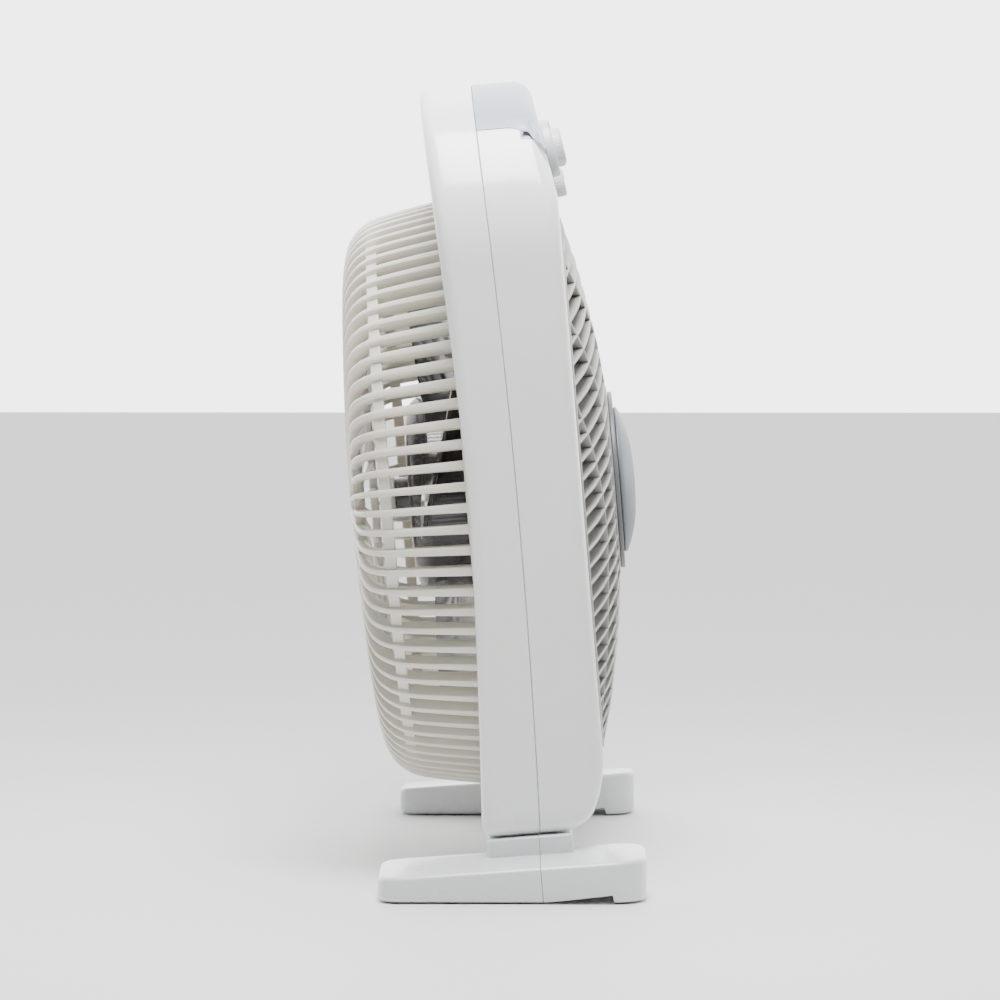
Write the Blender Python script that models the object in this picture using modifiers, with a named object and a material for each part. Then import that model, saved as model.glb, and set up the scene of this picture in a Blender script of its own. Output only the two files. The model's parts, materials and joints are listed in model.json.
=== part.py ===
"""Box fan: a square two-part housing that leans back on two split feet, with a removable basket guard
behind, a fan wheel on a motor inside, a slowly turning louvre grille in front and three knobs on top.

World axes: +Z up, the front faces -Y, +X to the right seen from the front. Z = 0 is the floor.
Most pieces are built in the fan frame: x right, y up from the fan's axis, z forward along that axis.
"""

import math

import bmesh
import bpy
from mathutils import Matrix, Vector

# ---- driving dimensions, in metres and degrees ----
LEAN = 4.7  # how far the body leans back
ORIGIN_Y = -0.0348  # where the lean frame stands, so that the whole fan is centred on the origin
AXIS_HEIGHT = 0.2208  # fan axis above the lean frame's origin, along the lean

HALF_WIDTH = 0.195
BODY_TOP = 0.461 - AXIS_HEIGHT
BODY_BOTTOM = 0.034 - AXIS_HEIGHT
TOP_CORNER = 0.100
BOTTOM_CORNER = 0.010
WALL = 0.0024
FRONT_PLANE = 0.0365
REAR_PLANE = -0.0278  # at the waist, where the body is thinnest
REAR_BOW = 0.095  # how fast the rear face falls back above and below the waist
SEAM_BOW = 0.11  # the parting line bows back above and below
FRONT_EDGE = 0.009  # rounding of the front edge
REAR_EDGE = 0.007
CHIN_HEIGHT = 0.046  # the front curves back over this height at the bottom
CHIN_DEPTH = 0.021
PANEL_START = 0.391 - AXIS_HEIGHT  # the front tilts back above this height
PANEL_TILT = 9.6
GAP = 0.0003

DUCT_REAR = 0.169
DUCT_FRONT = 0.1635
GUARD_SEAT = 0.1790
GUARD_LEDGE = -0.0262
RING_REAR, RING_FRONT = -0.0098, -0.0028  # the spider's ring, held between the two ducts
PLATE_FRONT, PLATE_REAR = -0.0044, -0.0086  # the spider's centre plate, which carries both motors
BOSS_RADIUS = 0.1685  # circle of the spider's screws

PANEL_SIDE = 0.4333 - AXIS_HEIGHT  # the panel's lower edge on the body's sides
PANEL_FRONT = 0.407 - AXIS_HEIGHT
PANEL_ARC = 0.1705
PANEL_ARC_HALF = 0.075
PANEL_HALF = 0.1705
KNOB_X = 0.060
KNOB_HEIGHT = 0.4210 - AXIS_HEIGHT
LOUVRE_KNOB_HEIGHT = 0.4013 - AXIS_HEIGHT
SPINDLE = 0.0030
SPINDLE_BORE = 0.0033

GUARD_RIBS = 30
GUARD_RIB_ANGLE = 1.55
GUARD_THICKNESS = 0.0040
LOUVRE_TURN = 11.5  # how far the slats stand off the horizontal at rest
LOUVRE_DEPTH = 0.0100
LOUVRE_RIM = 0.1572  # inside of the outer ring
LOUVRE_HUB = 0.0560  # outside of the hub ring
SLAT_PITCH = 0.0303
SLAT = 0.0022
GAP_ROWS = 5  # rows of gaps on each side of the middle one
CROSS_RIBS = [
    # half of the ribs that tie the slats, along and across them; the others are turned by 180 degrees
    [
        (-0.1470, 0.1060),
        (-0.1277, 0.0668),
        (-0.1096, 0.0254),
        (-0.1057, 0.0072),
        (-0.1090, -0.0390),
        (-0.1095, -0.1600),
    ],
    [
        (-0.1350, 0.1700),
        (-0.0899, 0.1101),
        (-0.0664, 0.0747),
        (-0.0640, 0.0450),
        (-0.0675, -0.0200),
        (-0.0670, -0.1700),
    ],
    [(-0.0770, 0.1700), (-0.0403, 0.1281), (0.0019, 0.0945), (-0.0020, 0.0770), (-0.0030, 0.0400)],
]

SHAFT = 0.0040
BORE = 0.0044
ROTOR = 0.0226
STATOR_BORE = 0.0236
MOTOR_SCREW_RADIUS = 0.036
BLADES = 5
BLADE_STEPS = 5

FOOT_INNER, FOOT_OUTER = 0.174, 0.236
FOOT_FRONT, FOOT_REAR = 0.0542, -0.0962  # forward distances on the floor from the lean frame's origin
FOOT_SPLIT = -0.0035
SOLE = 0.0008  # the pads hold the feet this far off the floor
NECK_INNER, NECK_OUTER = 0.172, 0.195
FOOT_SCREW_X = 0.1835
FOOT_SCREWS = {"rear": -0.018, "front": 0.006}

CORNER_SCREWS = [(0.158, 0.385 - AXIS_HEIGHT), (0.178, 0.052 - AXIS_HEIGHT)]
SCREW_SEAT = -0.0295
POST = 0.0050
SCREW_HOLE = 0.0021  # stands clear of a screw's shank
THREAD_HOLE = 0.0019
SHANK = 0.0016

COLOURS = {
    # name: (red, green, blue, roughness, metallic)
    "white_plastic": (0.86, 0.86, 0.85, 0.30, 0.0),
    "panel_plastic": (0.58, 0.61, 0.66, 0.35, 0.0),
    "knob_plastic": (0.77, 0.77, 0.79, 0.35, 0.0),
    "guard_plastic": (0.76, 0.74, 0.66, 0.45, 0.0),
    "louvre_plastic": (0.51, 0.50, 0.48, 0.45, 0.0),
    "flange_plastic": (0.47, 0.48, 0.49, 0.40, 0.0),
    "cap_plastic": (0.36, 0.40, 0.45, 0.25, 0.0),
    "foot_plastic": (0.75, 0.77, 0.79, 0.35, 0.0),
    "smoked_plastic": (0.045, 0.040, 0.040, 0.15, 0.0),
    "nut_plastic": (0.70, 0.72, 0.62, 0.25, 0.0),
    "spider_plastic": (0.72, 0.72, 0.70, 0.45, 0.0),
    "black_plastic": (0.03, 0.03, 0.03, 0.45, 0.0),
    "motor_steel": (0.45, 0.46, 0.47, 0.35, 1.0),
    "core_steel": (0.30, 0.30, 0.31, 0.50, 1.0),
    "shaft_steel": (0.65, 0.65, 0.66, 0.20, 1.0),
    "bronze": (0.62, 0.42, 0.20, 0.35, 1.0),
    "copper": (0.70, 0.32, 0.14, 0.35, 1.0),
    "screw_steel": (0.60, 0.60, 0.60, 0.30, 1.0),
    "rubber": (0.05, 0.05, 0.05, 0.80, 0.0),
    "film": (0.85, 0.80, 0.55, 0.40, 0.0),
}


# ---- scene, materials and objects ----
for old in list(bpy.data.objects):
    bpy.data.objects.remove(old, do_unlink=True)

scene = bpy.context.scene
parts = bpy.data.collections.new("box_fan")
cutters = bpy.data.collections.new("cutters")
scene.collection.children.link(parts)
scene.collection.children.link(cutters)
cutters.hide_render = True


def make_material(name):
    red, green, blue, roughness, metallic = COLOURS[name]
    material = bpy.data.materials.new(name)
    material.use_nodes = True
    shader = material.node_tree.nodes["Principled BSDF"]
    shader.inputs["Base Color"].default_value = (red, green, blue, 1.0)
    shader.inputs["Roughness"].default_value = roughness
    shader.inputs["Metallic"].default_value = metallic
    material.diffuse_color = (red, green, blue, 1.0)
    return material


MATERIALS = {name: make_material(name) for name in COLOURS}


def empty(name, parent, location=(0, 0, 0), tilt=0.0):
    """An empty that carries the pieces of one frame. tilt turns it about X, in degrees."""
    frame = bpy.data.objects.new(name, None)
    parts.objects.link(frame)
    frame.parent = parent
    frame.location = location
    frame.rotation_euler = (math.radians(tilt), 0, 0)
    return frame


lean_frame = empty("lean_frame", None, (0, ORIGIN_Y, 0), -LEAN)
fan_frame = empty("fan_frame", lean_frame, (0, 0, AXIS_HEIGHT), 90)
impeller_axis = empty("impeller_axis", fan_frame)
louvre_axis = empty("louvre_axis", fan_frame)


def add(name, mesh, parent, colour, location=(0, 0, 0)):
    """An object in the parts collection, or a cutter when colour is None."""
    piece = bpy.data.objects.new(name, mesh)
    piece.parent = parent
    piece.location = location
    if colour is None:
        cutters.objects.link(piece)
        piece.hide_render = True
        piece.display_type = "WIRE"
    else:
        parts.objects.link(piece)
        mesh.materials.append(MATERIALS[colour])
        mesh.shade_smooth()
        mesh.set_sharp_from_angle(angle=math.radians(35))
    return piece


def finish_mesh(name, bm):
    mesh = bpy.data.meshes.new(name)
    bmesh.ops.recalc_face_normals(bm, faces=bm.faces)
    bm.to_mesh(mesh)
    bm.free()
    return mesh


def boolean(piece, tool, operation="DIFFERENCE"):
    modifier = piece.modifiers.new(f"{operation.lower()}_{tool.name}", "BOOLEAN")
    modifier.operation = operation
    modifier.object = tool
    return modifier


def bevel(piece, width, segments=2):
    modifier = piece.modifiers.new("rounded_edges", "BEVEL")
    modifier.width = width
    modifier.segments = segments
    modifier.limit_method = "ANGLE"
    modifier.angle_limit = math.radians(40)
    return modifier


# ---- shapes ----
def turned(name, profile, parent, colour, steps=16, closed=True):
    """A profile of (radius, z) points turned about Z. It runs down the outer side."""
    bm = bmesh.new()
    points = [bm.verts.new((radius, 0, z)) for radius, z in profile]
    pairs = list(zip(points, points[1:]))
    if closed:
        pairs.append((points[-1], points[0]))
    for pair in pairs:
        bm.edges.new(pair)
    mesh = bpy.data.meshes.new(name)
    bm.to_mesh(mesh)
    bm.free()
    piece = add(name, mesh, parent, colour)
    screw = piece.modifiers.new("turn", "SCREW")
    screw.axis = "Z"
    screw.steps = screw.render_steps = steps
    screw.use_merge_vertices = True
    screw.merge_threshold = 0.00001
    return piece


def add_cylinder(bm, radius, low, high, x=0.0, y=0.0, sides=16):
    place = Matrix.Translation((x, y, (low + high) / 2))
    bmesh.ops.create_cone(
        bm, cap_ends=True, segments=sides, radius1=radius, radius2=radius, depth=high - low, matrix=place
    )


def add_box(bm, low, high, turn=0.0):
    """A box between two corners, turned about Z by an angle in degrees."""
    low, high = Vector(low), Vector(high)
    size = Matrix.Diagonal((*(high - low), 1))
    place = Matrix.Rotation(math.radians(turn), 4, "Z") @ Matrix.Translation((low + high) / 2)
    bmesh.ops.create_cube(bm, size=1.0, matrix=place @ size)


def cylinders(name, places, radius, low, high, parent, colour=None, sides=16):
    """One mesh of equal cylinders along Z, for cutting or joining."""
    bm = bmesh.new()
    for x, y in places:
        add_cylinder(bm, radius, low, high, x, y, sides)
    return add(name, finish_mesh(name, bm), parent, colour)


def box(name, low, high, parent, colour=None, edge=0.0):
    bm = bmesh.new()
    add_box(bm, low, high)
    piece = add(name, finish_mesh(name, bm), parent, colour)
    if edge:
        bevel(piece, edge)
    return piece


def prism(name, points, low, high, parent, colour=None):
    """An outline in x and y, extruded along Z. high is a number or a function of x and y."""
    bm = bmesh.new()
    base = bm.faces.new([bm.verts.new((x, y, low)) for x, y in points])
    grown = bmesh.ops.extrude_face_region(bm, geom=[base])
    for vertex in (v for v in grown["geom"] if isinstance(v, bmesh.types.BMVert)):
        vertex.co.z = high(vertex.co.x, vertex.co.y) if callable(high) else high
    return add(name, finish_mesh(name, bm), parent, colour)


def arc(x, y, radius, start, end, steps):
    angles = [math.radians(start + (end - start) * i / steps) for i in range(steps + 1)]
    return [(x + radius * math.cos(a), y + radius * math.sin(a)) for a in angles]


def stretch(start, end, steps):
    """The points between two ends, without the ends."""
    (x0, y0), (x1, y1) = start, end
    return [(x0 + (x1 - x0) * i / steps, y0 + (y1 - y0) * i / steps) for i in range(1, steps)]


def sheet(name, rows, parent, colour, thickness, keep=None, flip=False):
    """A grid bent round the axis and closed on itself, thickened behind its outer side.

    rows holds one closed ring of (x, y, z) points per grid line. keep(row, column) leaves cells out.
    """
    columns = len(rows[0])
    bm = bmesh.new()
    bmesh.ops.create_grid(bm, x_segments=columns, y_segments=len(rows) - 1, size=0.5)
    cell_of = {}
    for face in bm.faces:
        middle = face.calc_center_median()
        cell_of[face] = int((middle.y + 0.5) * (len(rows) - 1)), int((middle.x + 0.5) * columns)
    open_cells = [face for face, cell in cell_of.items() if keep and not keep(*cell)]
    for vertex in bm.verts:
        row = round((vertex.co.y + 0.5) * (len(rows) - 1))
        column = round((vertex.co.x + 0.5) * columns) % columns
        vertex.co = rows[row][column]
    bmesh.ops.delete(bm, geom=open_cells, context="FACES")
    bmesh.ops.remove_doubles(bm, verts=bm.verts, dist=0.000001)
    if flip:
        bmesh.ops.reverse_faces(bm, faces=bm.faces)
    mesh = bpy.data.meshes.new(name)
    bm.to_mesh(mesh)
    bm.free()
    piece = add(name, mesh, parent, colour)
    solidify = piece.modifiers.new("wall", "SOLIDIFY")
    solidify.thickness = thickness
    solidify.offset = -1
    solidify.use_even_offset = True
    return piece


def screw(name, parent, location, head, length, turn=0.0):
    """A pan-head screw: z = 0 is the underside of its head, and the shank runs towards -Z."""
    height = head * 0.65
    profile = [
        (0, height),
        (head * 0.7, height * 0.92),
        (head, height * 0.4),
        (head, 0),
        (SHANK, 0),
        (SHANK, SHANK - length),
        (0, -length),
    ]
    piece = turned(name, profile, parent, "screw_steel", steps=8, closed=False)
    piece.location = location
    piece.rotation_euler = (math.radians(turn), 0, 0)
    return piece


# ---- housing ----
def body_outline(inset):
    """The body's rounded outline seen from the front, pulled in by inset."""
    half, top, bottom = HALF_WIDTH - inset, BODY_TOP - inset, BODY_BOTTOM + inset
    upper = max(TOP_CORNER - inset, 0.0005)
    lower = max(BOTTOM_CORNER - inset, 0.0005)
    corners = [
        arc(half - upper, top - upper, upper, 0, 90, 6),
        arc(upper - half, top - upper, upper, 90, 180, 6),
        arc(lower - half, bottom + lower, lower, 180, 270, 3),
        arc(half - lower, bottom + lower, lower, 270, 360, 3),
    ]
    edges = [5, 8, 8, 8]
    points = []
    for index, corner in enumerate(corners):
        following = corners[(index + 1) % 4][0]
        points += corner + stretch(corner[-1], following, edges[index])
    return points


RAYS = [math.atan2(y, x) for x, y in body_outline(0)]


def circle(radius, z):
    """A ring of points on the same rays as the outline's. z is a number or a function of y."""
    ring = []
    for ray in RAYS:
        x, y = radius * math.cos(ray), radius * math.sin(ray)
        ring.append((x, y, z(y) if callable(z) else z))
    return ring


def front_face(y):
    """How far forward the front reaches at a height: curved under, flat, then tilted back."""
    chin = BODY_BOTTOM + CHIN_HEIGHT
    if y < chin:
        fall = (chin - y) / CHIN_HEIGHT
        return FRONT_PLANE - CHIN_DEPTH * (1 - math.sqrt(max(1 - fall * fall, 0)))
    if y > PANEL_START:
        return FRONT_PLANE - math.tan(math.radians(PANEL_TILT)) * (y - PANEL_START)
    return FRONT_PLANE


def rear_face(y):
    waist = 0.225 - AXIS_HEIGHT
    return REAR_PLANE - REAR_BOW * abs(y - waist) ** 1.5


def seam(y):
    return -SEAM_BOW * (y - 0.19 + AXIS_HEIGHT) ** 2


def side_row(depth):
    return [(x, y, depth(y)) for x, y in body_outline(0)]


def edge_rows(radius, face, towards, steps=2):
    """The rounded edge between the body's side and its front or rear face."""
    rows = []
    for step in range(steps + 1):
        angle = math.radians(90 * step / steps)
        inset, back = radius * (1 - math.cos(angle)), radius * (1 - math.sin(angle))
        rows.append([(x, y, face(y) - towards * back) for x, y in body_outline(inset)])
    return rows


def between(outer, inner, share, face):
    """A row part of the way from one ring to another, laid on the face."""
    row = []
    for (x0, y0, _), (x1, y1, _) in zip(outer, inner):
        x, y = x0 + (x1 - x0) * share, y0 + (y1 - y0) * share
        row.append((x, y, face(y)))
    return row


def both_sides(places):
    return [(side * x, y) for x, y in places for side in (-1, 1)]


def around(radius, count, start):
    """Places on a circle, from a start angle in degrees."""
    angles = [math.radians(start + 360 * i / count) for i in range(count)]
    return [(radius * math.cos(a), radius * math.sin(a)) for a in angles]


SPIDER_SCREWS = around(BOSS_RADIUS, 4, 45)
MOTOR_SCREWS = around(MOTOR_SCREW_RADIUS, 2, 45)
FOOT_BOSSES = [(-FOOT_SCREW_X, 0), (FOOT_SCREW_X, 0)]


def panel_region(name, grow):
    """The space that the control panel takes out of the front half, grown by a gap."""
    lift = PANEL_SIDE - grow
    corner = PANEL_FRONT - grow
    side_line = [(0.0157, lift), (0.0239, lift - 0.0052), (0.0345, corner), (0.060, corner)]
    region = prism(
        name, [(-0.03, lift), *side_line, (0.060, 0.30), (-0.03, 0.30)], -0.25, 0.25, fan_frame
    )
    # The profile is drawn in z and y, so x and z trade places.
    region.data.transform(Matrix(((0, 0, -1, 0), (0, 1, 0, 0), (1, 0, 0, 0), (0, 0, 0, 1))))
    rim = PANEL_ARC - grow
    half_angle = math.degrees(math.asin(PANEL_ARC_HALF / rim))
    lower_edge = arc(0, 0, rim, 90 - half_angle, 90 + half_angle, 12)
    out = PANEL_HALF + grow
    face_outline = [(out, 0.21), (out, corner), *lower_edge, (-out, corner), (-out, 0.21)]
    face = prism(f"{name}_face", face_outline[::-1], 0.018, 0.058, fan_frame)
    boolean(region, face, "UNION")
    return region


def foot_boss_tools(half):
    """The post inside the housing that takes a foot's screw, and its hole."""
    centre = FOOT_SCREWS[half]
    places = [(x, -centre) for x, _ in FOOT_BOSSES]
    post = cylinders(f"{half}_foot_posts", places, 0.0042, 0.0352, 0.0455, lean_frame)
    hole = cylinders(f"{half}_foot_post_holes", places, SCREW_HOLE, 0.030, 0.0440, lean_frame, sides=12)
    return post, hole


def make_rear_housing():
    edges = edge_rows(REAR_EDGE, rear_face, -1)
    rows = [
        side_row(lambda y: seam(y) - GAP / 2),
        *edges,
        circle(GUARD_SEAT, rear_face),
        circle(GUARD_SEAT, GUARD_LEDGE),
        circle(DUCT_REAR, GUARD_LEDGE),
        circle(DUCT_REAR, -0.0175),
    ]
    piece = sheet("rear_housing", rows, fan_frame, "white_plastic", WALL, flip=True)
    places = both_sides(CORNER_SCREWS)
    boolean(piece, cylinders("rear_posts", places, 0.0065, -0.0290, -0.0010, fan_frame), "UNION")
    boolean(piece, cylinders("rear_seats", places, 0.0065, -0.0320, -0.0285, fan_frame), "UNION")
    boolean(piece, cylinders("rear_sinks", places, 0.0045, -0.0600, SCREW_SEAT, fan_frame))
    boolean(piece, cylinders("rear_holes", places, SCREW_HOLE, -0.0600, 0.0100, fan_frame, sides=12))
    post, hole = foot_boss_tools("rear")
    boolean(piece, post, "UNION")
    boolean(piece, hole)
    boolean(piece, cylinders("gland_hole", [(0.120, 0.018)], 0.0062, 0.028, 0.0400, lean_frame))
    return piece


def make_front_half(name, colour):
    """The shell of the whole front half, which the front housing and the panel share."""
    edges = edge_rows(FRONT_EDGE, front_face, 1)
    mouth = circle(DUCT_FRONT, front_face)
    rows = [
        side_row(lambda y: seam(y) + GAP / 2),
        *edges,
        between(edges[-1], mouth, 0.25, front_face),
        between(edges[-1], mouth, 0.55, front_face),
        mouth,
        circle(DUCT_FRONT, -0.0022),
    ]
    return sheet(name, rows, fan_frame, colour, WALL)


def make_front_housing():
    piece = make_front_half("front_housing", "white_plastic")
    places = both_sides(CORNER_SCREWS)
    for x, y in places:
        reach = min(front_face(y - POST), front_face(y + POST)) - 0.0010
        post = cylinders(f"front_post_{x:.3f}_{y:.3f}", [(x, y)], POST, -0.0007, reach, fan_frame)
        boolean(piece, post, "UNION")
    bosses = cylinders("front_bosses", SPIDER_SCREWS, 0.0040, -0.0022, 0.0350, fan_frame)
    boolean(piece, bosses, "UNION")
    boolean(piece, cylinders("front_holes", places, THREAD_HOLE, -0.0600, 0.0100, fan_frame, sides=12))
    boolean(piece, cylinders("boss_holes", SPIDER_SCREWS, THREAD_HOLE, -0.02, 0.01, fan_frame, sides=12))
    post, hole = foot_boss_tools("front")
    boolean(piece, post, "UNION")
    boolean(piece, hole)
    boolean(piece, panel_region("panel_opening", GAP))
    return piece


def knob_axis(name, x, y):
    """The frame of one knob: z out of the panel, its origin on the panel's face."""
    return empty(name, fan_frame, (x, y, front_face(y)), -PANEL_TILT)


timer_axis = knob_axis("timer_axis", -KNOB_X, KNOB_HEIGHT)
speed_axis = knob_axis("speed_axis", KNOB_X, KNOB_HEIGHT)
switch_axis = knob_axis("louvre_switch_axis", 0, LOUVRE_KNOB_HEIGHT)


def make_control_panel():
    piece = make_front_half("control_panel", "panel_plastic")
    boolean(piece, panel_region("panel_cut", 0.0), "INTERSECT")
    for axis in (timer_axis, speed_axis, switch_axis):
        boolean(piece, cylinders(f"{axis.name}_hole", [(0, 0)], 0.0050, -0.01, 0.01, axis, sides=24))
    return piece


# ---- controls ----
def make_knob(name, axis, profile, pointer, depth):
    """A turned knob with a raised pointer on its face and a blind bore behind for the spindle."""
    knob = turned(name, profile, axis, "knob_plastic", steps=28, closed=False)
    bm = bmesh.new()
    add_box(bm, *pointer)
    boolean(knob, add(f"{name}_pointer", finish_mesh(f"{name}_pointer", bm), axis, None), "UNION")
    boolean(knob, cylinders(f"{name}_bore", [(0, 0)], SPINDLE_BORE, -0.002, depth, axis))
    spindle = [(0, depth - 0.0006), (SPINDLE, depth - 0.0006), (SPINDLE, -0.0110), (0, -0.0110)]
    turned(name.replace("knob", "spindle"), spindle, axis, "shaft_steel", closed=False)
    return knob


def make_controls():
    skirted = [
        (0, 0.0110),
        (0.0095, 0.0110),
        (0.0108, 0.0098),
        (0.0108, 0.0056),
        (0.0165, 0.0056),
        (0.0172, 0.0049),
        (0.0172, 0.0006),
        (0, 0.0006),
    ]
    pointer = (-0.0008, 0.0100, 0.0040), (0.0008, 0.0158, 0.0064)
    make_knob("timer_knob", timer_axis, skirted, pointer, 0.0085)
    make_knob("speed_knob", speed_axis, skirted, pointer, 0.0085)
    small = [(0, 0.0068), (0.0080, 0.0068), (0.0090, 0.0057), (0.0090, 0.0006), (0, 0.0006)]
    pointer = (-0.0006, 0.0, 0.0050), (0.0006, 0.0070, 0.0074)
    make_knob("louvre_knob", switch_axis, small, pointer, 0.0050)
    timer = [
        (0, -0.0130),
        (0.0034, -0.0130),
        (0.0034, -0.0034),
        (0.0185, -0.0034),
        (0.0190, -0.0040),
        (0.0190, -0.0250),
        (0.0185, -0.0256),
        (0, -0.0256),
    ]
    turned("timer_unit", timer, timer_axis, "black_plastic", closed=False)
    low, high = (-0.017, -0.0125, -0.0245), (0.017, 0.0125, -0.0034)
    switch = box("speed_switch", low, high, speed_axis, "black_plastic", 0.0008)
    boolean(switch, cylinders("switch_bore", [(0, 0)], 0.0034, -0.013, 0.005, speed_axis))
    low, high = (-0.009, -0.0065, -0.0165), (0.009, 0.0065, -0.0034)
    switch = box("louvre_switch", low, high, switch_axis, "black_plastic", 0.0006)
    boolean(switch, cylinders("louvre_switch_bore", [(0, 0)], 0.0034, -0.013, 0.005, switch_axis))


# ---- guard and louvre ----
def ring_of(radius, z, angles):
    return [(radius * math.cos(a), radius * math.sin(a), z) for a in angles]


def rib_angles(count, width, turn=0.0):
    """The two edges of each of count ribs, in radians, each rib followed by its gap."""
    angles = []
    for index in range(count):
        middle = 360 * index / count + turn
        angles += [math.radians(middle - width / 2), math.radians(middle + width / 2)]
    return angles


def make_rear_guard():
    """A basket: a rim, deep side ribs, a band, ribs over the shoulder, a ring, spokes and a centre disc."""
    profile = [
        (0.0, -0.1020, "all"),
        (0.042, -0.1014, "spokes"),
        (0.1165, -0.0968, "all"),
        (0.1205, -0.0965, "ribs"),
        (0.146, -0.0940, "ribs"),
        (0.158, -0.0882, "ribs"),
        (0.1662, -0.0789, "all"),
        (0.1690, -0.0716, "ribs"),
        (0.1766, -0.0345, "all"),
        (0.1776, -0.0268, "end"),
    ]
    angles = rib_angles(GUARD_RIBS, GUARD_RIB_ANGLE)
    rows = [ring_of(radius, z, angles) for radius, z, _ in profile]
    kinds = [kind for _, _, kind in profile]

    def keep(row, column):
        on_rib = column % 2 == 0
        return kinds[row] == "all" or (on_rib and (kinds[row] == "ribs" or column % 4 == 0))

    return sheet("rear_guard", rows, fan_frame, "guard_plastic", GUARD_THICKNESS, keep)


def add_wall(bm, line, thickness, low, high):
    """A thin wall along a line of (x, y) points that runs mostly along y."""
    half = thickness / 2
    outline = [(x - half, y) for x, y in line] + [(x + half, y) for x, y in reversed(line)]
    base = bm.faces.new([bm.verts.new((x, y, low)) for x, y in outline])
    grown = bmesh.ops.extrude_face_region(bm, geom=[base])
    bmesh.ops.translate(
        bm, verts=[v for v in grown["geom"] if isinstance(v, bmesh.types.BMVert)], vec=(0, 0, high - low)
    )


def make_louvre():
    """A shallow dome of straight slats, tied by cross ribs, between an outer ring and a hub ring."""
    front = [
        (0.0400, 0.0566),
        (0.0560, 0.0565),
        (0.0845, 0.0532),
        (0.1090, 0.0490),
        (0.1335, 0.0442),
        (0.1600, 0.0372),
    ]
    back = [(radius, z - LOUVRE_DEPTH) for radius, z in reversed(front)]
    louvre = turned("louvre_grille", front + back, louvre_axis, "louvre_plastic", steps=36)
    low, high = front[-1][1] - 2 * LOUVRE_DEPTH, front[0][1] + LOUVRE_DEPTH
    turn = Matrix.Rotation(math.radians(LOUVRE_TURN), 4, "Z")

    gaps = bmesh.new()
    for index in range(-GAP_ROWS, GAP_ROWS + 1):
        middle = index * SLAT_PITCH
        reach = (SLAT_PITCH - SLAT) / 2
        add_box(gaps, (-0.17, middle - reach, low), (0.17, middle + reach, high))
    gaps.transform(turn)
    cells = add("louvre_cells", finish_mesh("louvre_cells", gaps), louvre_axis, None)

    ribs = bmesh.new()
    for line in CROSS_RIBS:
        for side in (1, -1):
            add_wall(ribs, [(side * x, side * y) for x, y in line], SLAT, low - GAP, high + GAP)
    ribs.transform(turn)
    boolean(cells, add("louvre_ribs", finish_mesh("louvre_ribs", ribs), louvre_axis, None))

    top, base = high - GAP, low + GAP
    opening = [(LOUVRE_HUB, top), (LOUVRE_RIM, top), (LOUVRE_RIM, base), (LOUVRE_HUB, base)]
    boolean(cells, turned("louvre_opening", opening, louvre_axis, None, steps=36), "INTERSECT")
    boolean(louvre, cells)
    return louvre


def make_louvre_hub():
    flange = [
        (0.0510, 0.0593),
        (0.0531, 0.0586),
        (0.0531, 0.0569),
        (0.0090, 0.0569),
        (0.0080, 0.0440),
        (0.0033, 0.0440),
        (0.0033, 0.0593),
    ]
    turned("louvre_flange", flange, louvre_axis, "flange_plastic", steps=32)
    dome = [
        (0, 0.0693),
        (0.0150, 0.0690),
        (0.0280, 0.0677),
        (0.0380, 0.0655),
        (0.0425, 0.0635),
        (0.0437, 0.0612),
        (0.0437, 0.0596),
        (0.0413, 0.0596),
        (0.0413, 0.0608),
        (0.0270, 0.0653),
        (0, 0.0669),
    ]
    turned("louvre_hub_cap", dome, louvre_axis, "cap_plastic", steps=32, closed=False)
    shaft = [(0, 0.0592), (0.0030, 0.0592), (0.0030, 0.0100), (0, 0.0100)]
    turned("louvre_drive_shaft", shaft, louvre_axis, "shaft_steel", closed=False)
    motor = [
        (0, 0.0095),
        (0.0034, 0.0095),
        (0.0034, 0.0155),
        (0.0060, 0.0155),
        (0.0060, 0.0135),
        (0.0240, 0.0135),
        (0.0250, 0.0125),
        (0.0250, -0.0041),
        (0, -0.0041),
    ]
    turned("louvre_motor", motor, fan_frame, "motor_steel", closed=False)


# ---- motor, spider and fan wheel ----
def make_spider():
    """A centre plate, four arms and a ring that is held between the two ducts."""
    ring = [(0.158, RING_FRONT), (0.172, RING_FRONT), (0.172, RING_REAR), (0.158, RING_REAR)]
    spider = turned("motor_spider", ring, fan_frame, "spider_plastic", steps=40)
    arms = bmesh.new()
    low, high = (0.046, -0.004, RING_REAR + 0.0006), (0.162, 0.004, RING_FRONT - 0.0009)
    for quarter in range(4):
        add_box(arms, low, high, 90 * quarter)
    boolean(spider, add("spider_arms", finish_mesh("spider_arms", arms), fan_frame, None), "UNION")
    plate = [(0.0055, PLATE_FRONT), (0.050, PLATE_FRONT), (0.050, PLATE_REAR), (0.0055, PLATE_REAR)]
    boolean(spider, turned("spider_plate", plate, fan_frame, None), "UNION")
    boolean(spider, cylinders("spider_holes", SPIDER_SCREWS, SCREW_HOLE, -0.02, 0.01, fan_frame, sides=12))
    boolean(spider, cylinders("plate_holes", MOTOR_SCREWS, SCREW_HOLE, -0.02, 0.0, fan_frame, sides=12))
    return spider


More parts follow.
